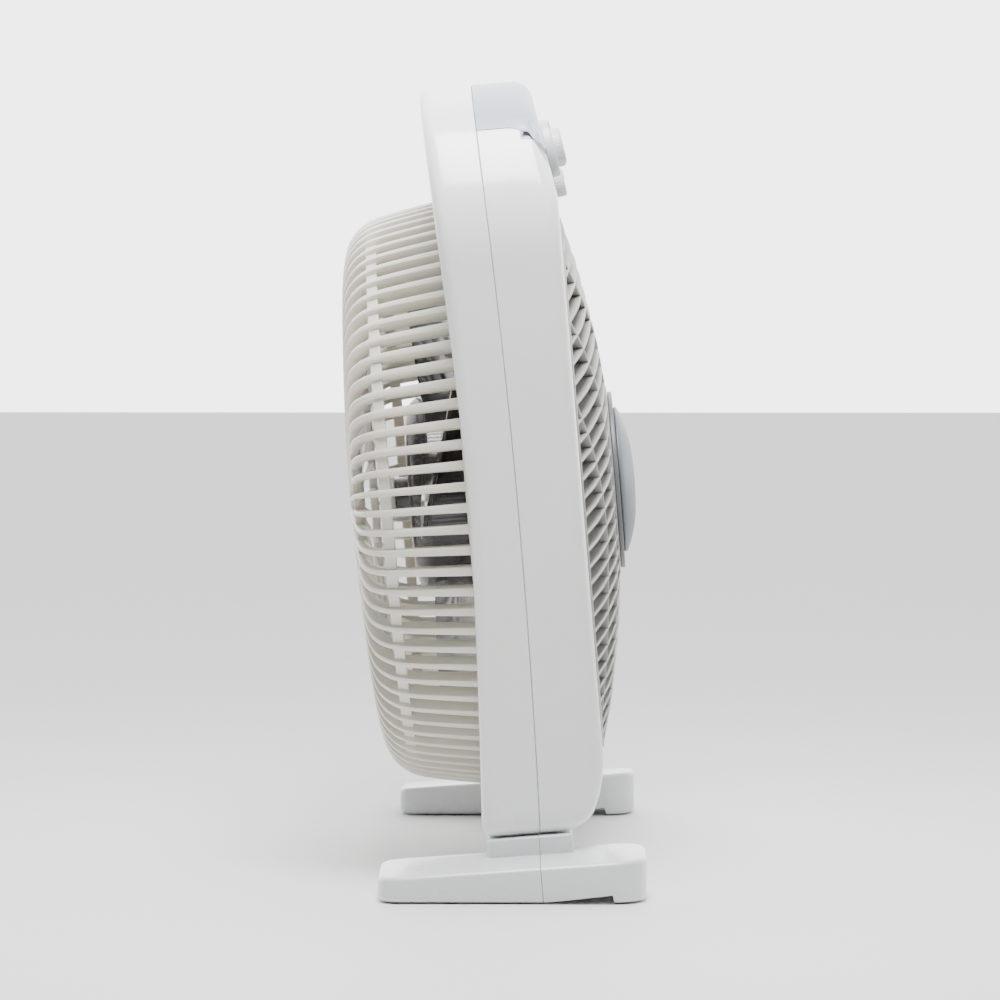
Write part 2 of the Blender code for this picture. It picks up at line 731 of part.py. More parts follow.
def make_motor():
    front_cover = [
        (0.0415, -0.0090),
        (0.0450, -0.0115),
        (0.0450, -0.0257),
        (0.0425, -0.0257),
        (0.0425, -0.0130),
        (0.0105, -0.0130),
        (0.0105, -0.0190),
        (0.0083, -0.0190),
        (0.0083, -0.0120),
        (0.0050, -0.0120),
        (0.0050, -0.0090),
    ]
    cover = turned("motor_front_cover", front_cover, fan_frame, "motor_steel")
    boolean(cover, cylinders("cover_holes", MOTOR_SCREWS, THREAD_HOLE, -0.0122, 0.0, fan_frame, sides=12))
    rear_cover = [
        (0.0450, -0.0403),
        (0.0450, -0.0525),
        (0.0415, -0.0562),
        (0.0115, -0.0562),
        (0.0115, -0.0585),
        (0.0050, -0.0585),
        (0.0050, -0.0557),
        (0.0083, -0.0557),
        (0.0083, -0.0490),
        (0.0105, -0.0490),
        (0.0105, -0.0540),
        (0.0400, -0.0540),
        (0.0425, -0.0515),
        (0.0425, -0.0403),
    ]
    turned("motor_rear_cover", rear_cover, fan_frame, "motor_steel")
    rings = {
        # name: (inner radius, outer radius, front, rear, colour)
        "motor_stator": (STATOR_BORE, 0.0450, -0.0260, -0.0400, "core_steel"),
        "front_coil": (0.0260, 0.0395, -0.0160, -0.0257, "copper"),
        "rear_coil": (0.0260, 0.0395, -0.0403, -0.0497, "copper"),
        "front_bearing": (BORE, 0.0080, -0.0125, -0.0185, "bronze"),
        "rear_bearing": (BORE, 0.0080, -0.0495, -0.0553, "bronze"),
    }
    for name, (inner, outer, front, rear, colour) in rings.items():
        turned(name, [(inner, front), (outer, front), (outer, rear), (inner, rear)], fan_frame, colour)
    rotor = [(BORE, -0.0230), (ROTOR, -0.0230), (ROTOR, -0.0430), (BORE, -0.0430)]
    turned("motor_rotor", rotor, impeller_axis, "core_steel")
    shaft = [(0, -0.0108), (SHAFT, -0.0114), (SHAFT, -0.0780), (0, -0.0786)]
    turned("motor_shaft", shaft, impeller_axis, "shaft_steel", closed=False)


def blade_rows(turn):
    """One blade as rows of points from the hub out, each row running along the chord."""
    stations = [
        # radius, angle that the chord spans, middle of the chord
        (0.0590, 46, 0),
        (0.0800, 54, 3),
        (0.1050, 60, 7),
        (0.1350, 62, 12),
        (0.1500, 44, 16),
    ]
    rows = []
    for radius, span, middle in stations:
        row = []
        for step in range(BLADE_STEPS + 1):
            along = step / BLADE_STEPS * 2 - 1
            angle = math.radians(turn + middle + along * span / 2)
            depth = 0.0178 * (span / 62) ** 0.5
            z = -0.0390 - depth * along + 0.0030 * (1 - along * along)
            row.append((radius * math.cos(angle), radius * math.sin(angle), z))
        rows.append(row)
    return rows


def make_impeller():
    """A cup over the motor with a centre boss, and swept blades."""
    cup = [
        (0.0600, -0.0165),
        (0.0600, -0.0540),
        (0.0585, -0.0595),
        (0.0540, -0.0640),
        (0.0470, -0.0660),
        (0.0120, -0.0660),
        (0.0120, -0.0747),
        (BORE, -0.0747),
        (BORE, -0.0600),
        (0.0100, -0.0600),
        (0.0100, -0.0636),
        (0.0450, -0.0636),
        (0.0525, -0.0615),
        (0.0562, -0.0575),
        (0.0578, -0.0530),
        (0.0578, -0.0165),
    ]
    impeller = turned("impeller", cup, impeller_axis, "smoked_plastic", steps=32)
    bm = bmesh.new()
    for blade in range(BLADES):
        rows = blade_rows(360 * blade / BLADES)
        spans = len(rows) - 1
        grid = bmesh.ops.create_grid(bm, x_segments=BLADE_STEPS, y_segments=spans, size=0.5)
        for vertex in grid["verts"]:
            row, column = round((vertex.co.y + 0.5) * spans), round((vertex.co.x + 0.5) * BLADE_STEPS)
            vertex.co = rows[row][column]
    blades = add("impeller_blades", finish_mesh("impeller_blades", bm), impeller_axis, None)
    solidify = blades.modifiers.new("wall", "SOLIDIFY")
    solidify.thickness = 0.0020
    solidify.offset = 0
    boolean(impeller, blades, "UNION")
    nut = [
        (0, -0.0792),
        (BORE, -0.0792),
        (BORE, -0.0750),
        (0.0130, -0.0750),
        (0.0128, -0.0785),
        (0.0100, -0.0808),
        (0, -0.0818),
    ]
    turned("spinner_nut", nut, impeller_axis, "nut_plastic", steps=24, closed=False)
    return impeller


def make_motor_lead():
    """The motor's cable: up behind the spider's top arm, over its ring and across to the switch."""
    route = [
        (0, 0.0475, -0.0125),
        (0, 0.100, -0.0128),
        (0, 0.160, -0.0128),
        (0.001, 0.1745, -0.0128),
        (0.010, 0.1805, -0.0115),
        (0.025, 0.1810, -0.0070),
        (0.045, 0.1810, -0.0020),
        (0.054, 0.1815, 0.0010),
        (0.060, 0.1830, 0.0045),
    ]
    curve = bpy.data.curves.new("motor_lead", "CURVE")
    curve.dimensions = "3D"
    curve.bevel_depth = 0.0018
    curve.bevel_resolution = 2
    curve.use_fill_caps = True
    spline = curve.splines.new("POLY")
    spline.points.add(len(route) - 1)
    for point, place in zip(spline.points, route):
        point.co = (*place, 1)
    lead = bpy.data.objects.new("motor_lead", curve)
    parts.objects.link(lead)
    lead.parent = fan_frame
    curve.materials.append(MATERIALS["black_plastic"])
    return lead


def make_electrics():
    low, high = (0.135, -0.158, -0.016), (0.165, -0.144, 0.004)
    box("terminal_block", low, high, fan_frame, "black_plastic", 0.001)
    low, high = (-0.168, -0.160, -0.012), (-0.134, -0.142, 0.010)
    box("capacitor", low, high, fan_frame, "film", 0.002)
    gland = [
        (0.0058, 0.0420),
        (0.0058, 0.0337),
        (0.0085, 0.0337),
        (0.0085, 0.0312),
        (0.0065, 0.0300),
        (0.0034, 0.0300),
        (0.0034, 0.0420),
    ]
    piece = turned("cord_gland", gland, lean_frame, "black_plastic", steps=24)
    piece.location = (0.120, 0.018, 0)


# ---- feet ----
def foot_top(x, y):
    """The top of a foot: it rises to the front with the lean and falls outwards a little."""
    from_rear = (ORIGIN_Y - y - FOOT_REAR) / (FOOT_FRONT - FOOT_REAR)
    outwards = (abs(x) - FOOT_INNER) / (FOOT_OUTER - FOOT_INNER)
    return 0.0174 + 0.0107 * from_rear - 0.0032 * outwards


def foot_outline(side):
    """The foot's plan, with a tighter rounding behind than in front."""
    front, rear = ORIGIN_Y - FOOT_FRONT, ORIGIN_Y - FOOT_REAR
    tight, wide = 0.012, 0.018
    points = (
        arc(FOOT_OUTER - wide, front + wide, wide, 270, 360, 4)
        + arc(FOOT_OUTER - tight, rear - tight, tight, 0, 90, 4)
        + arc(FOOT_INNER + tight, rear - tight, tight, 90, 180, 4)
        + arc(FOOT_INNER + wide, front + wide, wide, 180, 270, 4)
    )
    return [(side * x, y) for x, y in points][::side]


def make_foot(side, half):
    name = f"{'left' if side < 0 else 'right'}_{half}_foot"
    foot = prism(name, foot_outline(side), SOLE, foot_top, None, "foot_plastic")
    bevel(foot, 0.0022)
    inner, outer = sorted((side * NECK_INNER, side * NECK_OUTER))
    neck = box(f"{name}_neck", (inner, -0.0153, 0.006), (outer, 0.033, 0.0337), lean_frame)
    bevel(neck, 0.0015)
    boolean(foot, neck, "UNION")
    if half == "rear":
        low, high = (-0.3, -0.2, -0.05), (0.3, -FOOT_SPLIT + GAP / 2, 0.06)
    else:
        low, high = (-0.3, -FOOT_SPLIT - GAP / 2, -0.05), (0.3, 0.2, 0.06)
        rise = prism(
            f"{name}_arch",
            [(-0.008, -0.002), (0.0365, -0.002), (0.0350, 0.0052), (-0.004, SOLE)],
            -0.3,
            0.3,
            None,
        )
        # The arch is drawn with forward as x and up as y.
        rise.data.transform(Matrix(((0, 0, -1, 0), (-1, 0, 0, ORIGIN_Y), (0, 1, 0, 0), (0, 0, 0, 1))))
        boolean(foot, rise)
    boolean(foot, box(f"{name}_cut", low, high, lean_frame))
    screw_place = [(side * FOOT_SCREW_X, -FOOT_SCREWS[half])]
    boolean(foot, cylinders(f"{name}_sink", screw_place, 0.0045, -0.02, 0.012, lean_frame))
    boolean(foot, cylinders(f"{name}_hole", screw_place, SCREW_HOLE, -0.02, 0.05, lean_frame, sides=12))
    forward = -0.075 if half == "rear" else 0.0445
    pad_place = (side * 0.205, ORIGIN_Y - forward)
    boolean(foot, cylinders(f"{name}_pocket", [pad_place], 0.0064, -0.01, 0.0026, None, sides=24))
    cylinders(f"{name}_pad", [pad_place], 0.0060, 0.0, 0.0023, None, "rubber", sides=24)
    location = (screw_place[0][0], screw_place[0][1], 0.0117)
    screw(f"{name}_screw", lean_frame, location, 0.0040, 0.030, 180)


# ---- assembly ----
make_rear_housing()
make_front_housing()
make_control_panel()
make_controls()
make_rear_guard()
make_louvre()
make_louvre_hub()
make_spider()
make_motor()
make_impeller()
make_motor_lead()
make_electrics()
for foot_side in (-1, 1):
    for foot_half in ("rear", "front"):
        make_foot(foot_side, foot_half)
for number, (x, y) in enumerate(both_sides(CORNER_SCREWS), 1):
    screw(f"housing_screw_{number}", fan_frame, (x, y, SCREW_SEAT - GAP), 0.0040, 0.035, 180)
for number, (x, y) in enumerate(SPIDER_SCREWS, 1):
    screw(f"spider_screw_{number}", fan_frame, (x, y, RING_REAR - GAP), 0.0034, 0.016, 180)
for number, (x, y) in enumerate(MOTOR_SCREWS, 1):
    screw(f"motor_screw_{number}", fan_frame, (x, y, PLATE_FRONT + GAP), 0.0032, 0.0074)
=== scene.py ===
"""The looks of the box fan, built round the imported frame.

Most pieces are made in the fan frame: x right, y up from the fan's axis, z forward along that axis.
Lengths are in metres.
"""

import json
import math

import bmesh
import bpy
from mathutils import Matrix, Vector


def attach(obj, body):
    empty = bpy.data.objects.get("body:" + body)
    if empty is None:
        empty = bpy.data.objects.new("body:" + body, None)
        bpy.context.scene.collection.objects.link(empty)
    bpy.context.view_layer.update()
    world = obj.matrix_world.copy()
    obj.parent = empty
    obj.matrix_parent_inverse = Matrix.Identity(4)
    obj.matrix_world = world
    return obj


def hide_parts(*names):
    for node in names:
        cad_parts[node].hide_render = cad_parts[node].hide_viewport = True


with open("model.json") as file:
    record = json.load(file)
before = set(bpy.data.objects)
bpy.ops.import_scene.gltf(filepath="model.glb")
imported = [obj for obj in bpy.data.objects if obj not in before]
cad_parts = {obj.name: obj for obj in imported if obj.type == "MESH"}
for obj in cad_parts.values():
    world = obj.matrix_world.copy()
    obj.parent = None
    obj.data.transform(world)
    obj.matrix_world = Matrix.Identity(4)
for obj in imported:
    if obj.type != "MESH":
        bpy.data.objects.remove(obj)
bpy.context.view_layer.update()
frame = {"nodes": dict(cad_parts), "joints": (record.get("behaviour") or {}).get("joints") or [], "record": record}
joints = {joint["name"]: joint for joint in frame["joints"]}
HOUSING, IMPELLER, LOUVRE = "housing", "impeller_assembly", "louvre_assembly"


def joint_frame(name, outwards=1):
    """The frame of a joint: z along its axis, x to the right."""
    z = Vector(joints[name]["axis"]).normalized() * outwards
    x = Vector((1, 0, 0))
    place = Matrix((x, z.cross(x), z)).transposed().to_4x4()
    place.translation = Vector(joints[name]["pos_m"])
    return place


FAN = joint_frame("impeller_spin")
TIMER = joint_frame("timer_turn", -1)
SPEED = joint_frame("speed_turn", -1)
SWITCH = joint_frame("louvre_switch_turn", -1)

# ---- sizes of the body, as in the frame's own design ----
AXIS_HEIGHT = 0.2208
HALF_WIDTH = 0.195
BODY_TOP = 0.461 - AXIS_HEIGHT
BODY_BOTTOM = 0.034 - AXIS_HEIGHT
TOP_CORNER, BOTTOM_CORNER = 0.100, 0.010
WALL = 0.0024
FRONT_PLANE, REAR_PLANE = 0.0365, -0.0278
REAR_BOW, SEAM_BOW = 0.095, 0.11
FRONT_EDGE, REAR_EDGE = 0.009, 0.007
CHIN_HEIGHT, CHIN_DEPTH = 0.046, 0.021
PANEL_START = 0.391 - AXIS_HEIGHT
PANEL_TILT = math.radians(9.6)
PANEL_SIDE = 0.4333 - AXIS_HEIGHT
PANEL_FRONT = 0.407 - AXIS_HEIGHT
PANEL_ARC, PANEL_ARC_HALF, PANEL_HALF = 0.1705, 0.075, 0.1705
DUCT_REAR, DUCT_FRONT = 0.169, 0.1635
GUARD_SEAT, GUARD_LEDGE = 0.1790, -0.0262
SEAM_GROOVE = 0.0004
SEAM_EASE = 0.00015  # half of the gap between the two halves
SEAM_HEIGHT = 0.19  # above the sole, where the seam lies furthest forward
WAIST_HEIGHT = 0.225 - AXIS_HEIGHT
PANEL_GAP = 0.00035
EDGE_STEPS, SIDE_STEPS = 6, 4


# ---- materials ----
NOISE_LOW, NOISE_HIGH = 0.3, 0.7


class Shader:
    """A Principled material with helpers that add nodes."""

    def __init__(self, name, colour, roughness, metallic=0.0):
        self.material = bpy.data.materials.new(name)
        self.material.use_nodes = True
        self.tree = self.material.node_tree
        self.bsdf = self.tree.nodes["Principled BSDF"]
        self.bsdf.inputs["Base Color"].default_value = (*colour, 1)
        self.bsdf.inputs["Roughness"].default_value = roughness
        self.bsdf.inputs["Metallic"].default_value = metallic
        self.colour = colour
        self.place = self.node("ShaderNodeTexCoord").outputs["Object"]

    def node(self, kind, **values):
        made = self.tree.nodes.new(kind)
        for key, value in values.items():
            setattr(made, key, value)
        return made

    def link(self, start, end):
        self.tree.links.new(start, end)

    def noise(self, scale, detail=3.0, stretch=(1, 1, 1)):
        mapping = self.node("ShaderNodeMapping")
        mapping.inputs["Scale"].default_value = stretch
        self.link(self.place, mapping.inputs["Vector"])
        noise = self.node("ShaderNodeTexNoise")
        noise.inputs["Scale"].default_value = scale
        noise.inputs["Detail"].default_value = detail
        self.link(mapping.outputs["Vector"], noise.inputs["Vector"])
        return noise.outputs["Fac"]

    def ramp(self, value, low, high):
        """A value or colour that goes from low to high over the range where a noise mostly lies."""
        ramp = self.node("ShaderNodeValToRGB")
        ramp.color_ramp.elements[0].position = NOISE_LOW
        ramp.color_ramp.elements[1].position = NOISE_HIGH
        for element, level in zip(ramp.color_ramp.elements, (low, high)):
            element.color = (*level, 1) if isinstance(level, tuple) else (level, level, level, 1)
        self.link(value, ramp.inputs["Fac"])
        return ramp.outputs["Color"]

    def mottle(self, scale, amount, tint=(1, 1, 1)):
        """Slow colour variation, lighter and darker round the base colour."""
        dark = tuple(c * (1 - amount) * t for c, t in zip(self.colour, tint))
        light = tuple(min(c * (1 + amount * 0.5), 1) for c in self.colour)
        self.link(self.ramp(self.noise(scale, 4), dark, light), self.bsdf.inputs["Base Color"])

    def vary_roughness(self, scale, low, high):
        self.link(self.ramp(self.noise(scale, 5), low, high), self.bsdf.inputs["Roughness"])

    def bumps(self, layers):
        """layers: (height output, distance in metres, strength), laid over each other."""
        previous = None
        for height, distance, strength in layers:
            bump = self.node("ShaderNodeBump")
            bump.inputs["Distance"].default_value = distance
            bump.inputs["Strength"].default_value = strength
            self.link(height, bump.inputs["Height"])
            if previous:
                self.link(previous, bump.inputs["Normal"])
            previous = bump.outputs["Normal"]
        self.link(previous, self.bsdf.inputs["Normal"])

    def set(self, **values):
        for key, value in values.items():
            self.bsdf.inputs[key.replace("_", " ")].default_value = value
        return self


def glossy_plastic(name, colour, roughness=0.25, coat=0.25):
    """Injection-moulded plastic with a faint orange peel, flow marks and handling haze."""
    shader = Shader(name, colour, roughness)
    shader.mottle(9, 0.025, (0.99, 1, 1))
    shader.vary_roughness(14, roughness * 0.85, roughness * 1.25)
    peel = shader.noise(520, 2)
    flow = shader.noise(60, 3, (1, 1, 0.3))
    shader.bumps([(flow, 0.0004, 0.06), (peel, 0.0001, 0.10)])
    shader.set(Coat_Weight=coat, Coat_Roughness=0.12)
    shader.set(Subsurface_Weight=0.08, Subsurface_Scale=0.004)
    return shader.material


def matte_plastic(name, colour, roughness=0.5):
    """Spark-textured plastic: a fine even grain over soft colour variation."""
    shader = Shader(name, colour, roughness)
    shader.mottle(16, 0.05, (0.99, 1, 1))
    shader.vary_roughness(25, roughness * 0.85, min(roughness * 1.2, 1))
    shader.bumps([(shader.noise(900, 2), 0.00012, 0.25), (shader.noise(2600, 1), 0.00006, 0.20)])
    return shader.material


def smoked_plastic(name):
    """Clear plastic tinted brown-grey."""
    shader = Shader(name, (0.085, 0.078, 0.080), 0.12)
    shader.mottle(12, 0.10)
    shader.vary_roughness(18, 0.08, 0.20)
    shader.bumps([(shader.noise(40, 2), 0.0003, 0.08)])
    shader.set(Transmission_Weight=0.45, IOR=1.49, Coat_Weight=0.4, Coat_Roughness=0.05)
    return shader.material


def milky_plastic(name):
    shader = Shader(name, (0.74, 0.76, 0.66), 0.22)
    shader.mottle(60, 0.05)
    shader.bumps([(shader.noise(300, 2), 0.0002, 0.10)])
    shader.set(Transmission_Weight=0.30, Subsurface_Weight=0.3, Subsurface_Scale=0.003)
    return shader.material


def metal(name, colour, roughness, stretch=(1, 1, 1), scale=120):
    """Plated or ground metal with a directional grain."""
    shader = Shader(name, colour, roughness, 1.0)
    grain = shader.noise(scale, 4, stretch)
    shader.mottle(25, 0.12, (1, 0.98, 0.95))
    polish = shader.ramp(grain, roughness * 0.7, min(roughness * 1.4, 1))
    shader.link(polish, shader.bsdf.inputs["Roughness"])
    shader.bumps([(grain, 0.0001, 0.25)])
    return shader.material


def copper_winding(name):
    """Enamelled wire lying side by side."""
    shader = Shader(name, (0.62, 0.25, 0.10), 0.3, 0.9)
    wave = shader.node("ShaderNodeTexWave", wave_type="RINGS", rings_direction="Y")
    wave.inputs["Scale"].default_value = 260
    wave.inputs["Distortion"].default_value = 1.5
    shader.link(shader.place, wave.inputs["Vector"])
    shader.mottle(40, 0.25)
    shader.bumps([(wave.outputs["Fac"], 0.0004, 0.7)])
    return shader.material


def laminated_steel(name):
    """Stacked sheets seen on edge."""
    shader = Shader(name, (0.26, 0.26, 0.27), 0.45, 1.0)
    wave = shader.node("ShaderNodeTexWave", wave_type="BANDS", bands_direction="Y")
    wave.inputs["Scale"].default_value = 620
    shader.link(shader.place, wave.inputs["Vector"])
    shader.mottle(60, 0.2, (1, 0.92, 0.85))
    shader.bumps([(wave.outputs["Fac"], 0.0002, 0.6)])
    return shader.material


def rubber(name):
    shader = Shader(name, (0.035, 0.035, 0.036), 0.8)
    shader.mottle(90, 0.2)
    shader.bumps([(shader.noise(1200, 3), 0.0002, 0.4)])
    return shader.material


MATERIALS = {
    "white_plastic": glossy_plastic("white_plastic", (0.86, 0.86, 0.85), 0.22, 0.35),
    "panel_plastic": glossy_plastic("panel_plastic", (0.37, 0.41, 0.48), 0.28, 0.2),
    "knob_plastic": glossy_plastic("knob_plastic", (0.66, 0.66, 0.68), 0.28),
    "guard_plastic": glossy_plastic("guard_plastic", (0.78, 0.75, 0.66), 0.34, 0.15),
    "louvre_plastic": matte_plastic("louvre_plastic", (0.38, 0.37, 0.355), 0.42),
    "flange_plastic": matte_plastic("flange_plastic", (0.15, 0.152, 0.155), 0.40),
    "cap_plastic": matte_plastic("cap_plastic", (0.150, 0.168, 0.192), 0.42),
    "foot_plastic": glossy_plastic("foot_plastic", (0.77, 0.79, 0.80), 0.28, 0.25),
    "spider_plastic": matte_plastic("spider_plastic", (0.72, 0.72, 0.70), 0.45),
    "black_plastic": matte_plastic("black_plastic", (0.028, 0.028, 0.030), 0.45),
    "smoked_plastic": smoked_plastic("smoked_plastic"),
    "nut_plastic": milky_plastic("nut_plastic"),
    "motor_steel": metal("motor_steel", (0.50, 0.51, 0.52), 0.32),
    "core_steel": laminated_steel("core_steel"),
    "shaft_steel": metal("shaft_steel", (0.62, 0.62, 0.63), 0.2, (1, 8, 1), 300),
    "bronze": metal("bronze", (0.55, 0.37, 0.18), 0.4, (1, 1, 1), 500),
    "copper": copper_winding("copper"),
    "screw_steel": metal("screw_steel", (0.58, 0.58, 0.58), 0.3, (1, 1, 1), 400),
    "rubber": rubber("rubber"),
    "film": glossy_plastic("film", (0.78, 0.70, 0.40), 0.35, 0.1),
}


# ---- mesh tools ----
SHARP, BEVELLED = math.radians(35), math.radians(40)  # the angles from which edges are so


def add(name, bm, slot, body, place=FAN, replaces=()):
    """Makes an object of a mesh drawn in a frame, and ties it to the frame's body and nodes."""
    mesh = bpy.data.meshes.new(name)
    bm.to_mesh(mesh)
    bm.free()
    piece = bpy.data.objects.new(name, mesh)
    bpy.context.scene.collection.objects.link(piece)
    mesh.transform(place)
    mesh.materials.append(MATERIALS[slot])
    mesh.shade_smooth()
    mesh.set_sharp_from_angle(angle=SHARP)
    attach(piece, body)
    if replaces:
        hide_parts(*replaces)
    return piece


def apply_modifiers(piece):
    """Bakes the modifiers into the mesh, and marks the edges that stay sharp."""
    graph = bpy.context.evaluated_depsgraph_get()
    mesh = bpy.data.meshes.new_from_object(piece.evaluated_get(graph), depsgraph=graph)
    piece.modifiers.clear()
    piece.data = mesh
    mesh.shade_smooth()
    mesh.set_sharp_from_angle(angle=SHARP)


def scratch(name, bm, place=FAN):
    """A tool object for a Boolean, removed once it has been used."""
    mesh = bpy.data.meshes.new(name)
    bmesh.ops.recalc_face_normals(bm, faces=bm.faces)
    bm.to_mesh(mesh)
    bm.free()
    tool = bpy.data.objects.new(name, mesh)
    bpy.context.scene.collection.objects.link(tool)
    mesh.transform(place)
    return tool


def boolean(piece, tool, operation="DIFFERENCE", careful=False):
    """careful copes with walls that touch themselves, and is slower."""
    modifier = piece.modifiers.new(tool.name, "BOOLEAN")
    modifier.operation = operation
    modifier.use_self = careful
    modifier.object = tool
    return tool


def bevel(piece, width, segments=3):
    modifier = piece.modifiers.new("rounded", "BEVEL")
    modifier.width = width
    modifier.segments = segments
    modifier.limit_method = "ANGLE"
    modifier.angle_limit = BEVELLED


def settle(piece, tools=()):
    """Applies a piece's modifiers and removes the tools."""
    bpy.context.view_layer.update()
    apply_modifiers(piece)
    for tool in tools:
        bpy.data.objects.remove(tool, do_unlink=True)
    return piece


def rounded(points, radius, segments=4, closed=True):
    """A polyline in a plane with its corners rounded. radius is a number or one number per point."""
    count = len(points)
    out = []
    for index, point in enumerate(points):
        if not closed and index in (0, count - 1):
            out.append(tuple(point))
            continue
        size = radius[index] if isinstance(radius, (list, tuple)) else radius
        here, before, after = (Vector(points[i % count]) for i in (index, index - 1, index + 1))
        into, onward = before - here, after - here
        reach = min(size, into.length * 0.45, onward.length * 0.45)
        start, end = here + into.normalized() * reach, here + onward.normalized() * reach
        for step in range(segments + 1):
            t = step / segments
            out.append(tuple(start * (1 - t) ** 2 + here * 2 * t * (1 - t) + end * t * t))
    return out


def rings_mesh(bm, rings, closed_profile, closed_ring=True):
    """Skins a list of rings of points. Returns the vertices, ring by ring."""
    made = [[bm.verts.new(point) for point in ring] for ring in rings]
    pairs = list(zip(made, made[1:]))
    if closed_profile:
        pairs.append((made[-1], made[0]))
    size = len(rings[0])
    for first, second in pairs:
        for i in range(size if closed_ring else size - 1):
            j = (i + 1) % size
            bm.faces.new((first[i], first[j], second[j], second[i]))
    return made


def lathe(bm, profile, steps=144, closed=True):
    """Turns a (radius, z) profile about z. An open profile starts and ends on the axis."""
    angles = [2 * math.pi * i / steps for i in range(steps)]
    rings = []
    for radius, z in profile:
        r = max(radius, 0.00001)
        rings.append([(r * math.cos(a), r * math.sin(a), z) for a in angles])
    made = rings_mesh(bm, rings, closed)
    if not closed:
        bm.faces.new(made[0])
        bm.faces.new(list(reversed(made[-1])))


def close_up(bm):
    bmesh.ops.recalc_face_normals(bm, faces=bm.faces)
    return bm


def section(width, depth, radius, segments=2):
    """A rounded rectangle from v = 0, its outer side, to v = -depth."""
    half = width / 2
    corners = [(half, 0), (half, -depth), (-half, -depth), (-half, 0)]
    return rounded(corners, radius, segments)


def sweep(bm, stations):
    """A solid through rings of points, capped at both ends."""
    made = rings_mesh(bm, stations, False)
    bm.faces.new(list(reversed(made[0])))
    bm.faces.new(made[-1])


def smooth_path(points, count):
    """count points along a smooth curve through the given ones, by Catmull-Rom."""
    out = []
    spans = len(points) - 1
    for index in range(count):
        u = index / (count - 1) * spans
        k = min(int(u), spans - 1)
        t = u - k
        p0, p1 = points[max(k - 1, 0)], points[k]
        p2, p3 = points[k + 1], points[min(k + 2, spans)]
        place = []
        for a, b, c, d in zip(p0, p1, p2, p3):
            square = (2 * a - 5 * b + 4 * c - d) * t * t
            cube = (3 * b - a - 3 * c + d) * t**3
            place.append(0.5 * (2 * b + (c - a) * t + square + cube))
        out.append(tuple(place))
    return out


def arc(x, y, radius, start, end, steps):
    angles = [math.radians(start + (end - start) * i / steps) for i in range(steps + 1)]
    return [(x + radius * math.cos(a), y + radius * math.sin(a)) for a in angles]


def prism(bm, points, low, high):
    """An outline in x and y, extruded along z. high is a number or a function of x and y."""
    base = bm.faces.new([bm.verts.new((x, y, low)) for x, y in points])
    grown = bmesh.ops.extrude_face_region(bm, geom=[base])
    for vertex in (v for v in grown["geom"] if isinstance(v, bmesh.types.BMVert)):
        vertex.co.z = high(vertex.co.x, vertex.co.y) if callable(high) else high
    return close_up(bm)


def cylinders(places, radius, low, high, sides=32):
    bm = bmesh.new()
    for x, y in places:
        prism(bm, arc(x, y, radius, 0, 360 - 360 / sides, sides - 1), low, high)
    return bm


# ---- housing ----
def body_outline(inset):
    half, top, bottom = HALF_WIDTH - inset, BODY_TOP - inset, BODY_BOTTOM + inset
    upper = max(TOP_CORNER - inset, 0.0005)
    lower = max(BOTTOM_CORNER - inset, 0.0005)
    corners = [
        arc(half - upper, top - upper, upper, 0, 90, 20),
        arc(upper - half, top - upper, upper, 90, 180, 20),
        arc(lower - half, bottom + lower, lower, 180, 270, 8),
        arc(half - lower, bottom + lower, lower, 270, 360, 8),
    ]
    edges = [16, 32, 30, 32]
    points = []
    for index, corner in enumerate(corners):
        (x0, y0), (x1, y1) = corner[-1], corners[(index + 1) % 4][0]
        steps = edges[index]
        points += corner
        points += [(x0 + (x1 - x0) * i / steps, y0 + (y1 - y0) * i / steps) for i in range(1, steps)]
    return points


RAYS = [math.atan2(y, x) for x, y in body_outline(0)]


def circle(radius, z):
    ring = []
    for ray in RAYS:
        x, y = radius * math.cos(ray), radius * math.sin(ray)
        ring.append((x, y, z(y) if callable(z) else z))
    return ring


def front_face(y):
    chin = BODY_BOTTOM + CHIN_HEIGHT
    if y < chin:
        fall = (chin - y) / CHIN_HEIGHT
        return FRONT_PLANE - CHIN_DEPTH * (1 - math.sqrt(max(1 - fall * fall, 0)))
    if y > PANEL_START:
        return FRONT_PLANE - math.tan(PANEL_TILT) * (y - PANEL_START)
    return FRONT_PLANE


def rear_face(y):
    return REAR_PLANE - REAR_BOW * abs(y - WAIST_HEIGHT) ** 1.5


def seam(y):
    return -SEAM_BOW * (y - SEAM_HEIGHT + AXIS_HEIGHT) ** 2


def edge_rows(radius, face, towards):
    """The rounded edge between the body's side and one of its faces."""
    rows = []
    for step in range(EDGE_STEPS + 1):
        angle = math.radians(90 * step / EDGE_STEPS)
        inset, back = radius * (1 - math.cos(angle)), radius * (1 - math.sin(angle))
        rows.append([(x, y, face(y) - towards * back) for x, y in body_outline(inset)])
    return rows


def between(outer, inner, share, face):
    row = []
    for (x0, y0, _), (x1, y1, _) in zip(outer, inner):
        x, y = x0 + (x1 - x0) * share, y0 + (y1 - y0) * share
        row.append((x, y, face(y)))
    return row


def lip_rows(radius, face, towards, size, steps=3):
    """The rounded mouth of an opening, from the face into the hole."""
    rows = []
    for step in range(steps + 1):
        angle = math.radians(90 * step / steps)
        out, back = size * (1 - math.sin(angle)), size * (1 - math.cos(angle))
        rows.append(circle(radius + out, lambda y, back=back: face(y) - towards * back))
    return rows


def shell(rows, flip):
    bm = bmesh.new()
    rings_mesh(bm, rows, False)
    if flip:
        bmesh.ops.reverse_faces(bm, faces=bm.faces)
    return bm


def thicken(piece):
    solidify = piece.modifiers.new("wall", "SOLIDIFY")
    solidify.thickness = WALL
    solidify.offset = -1
    solidify.use_even_offset = True


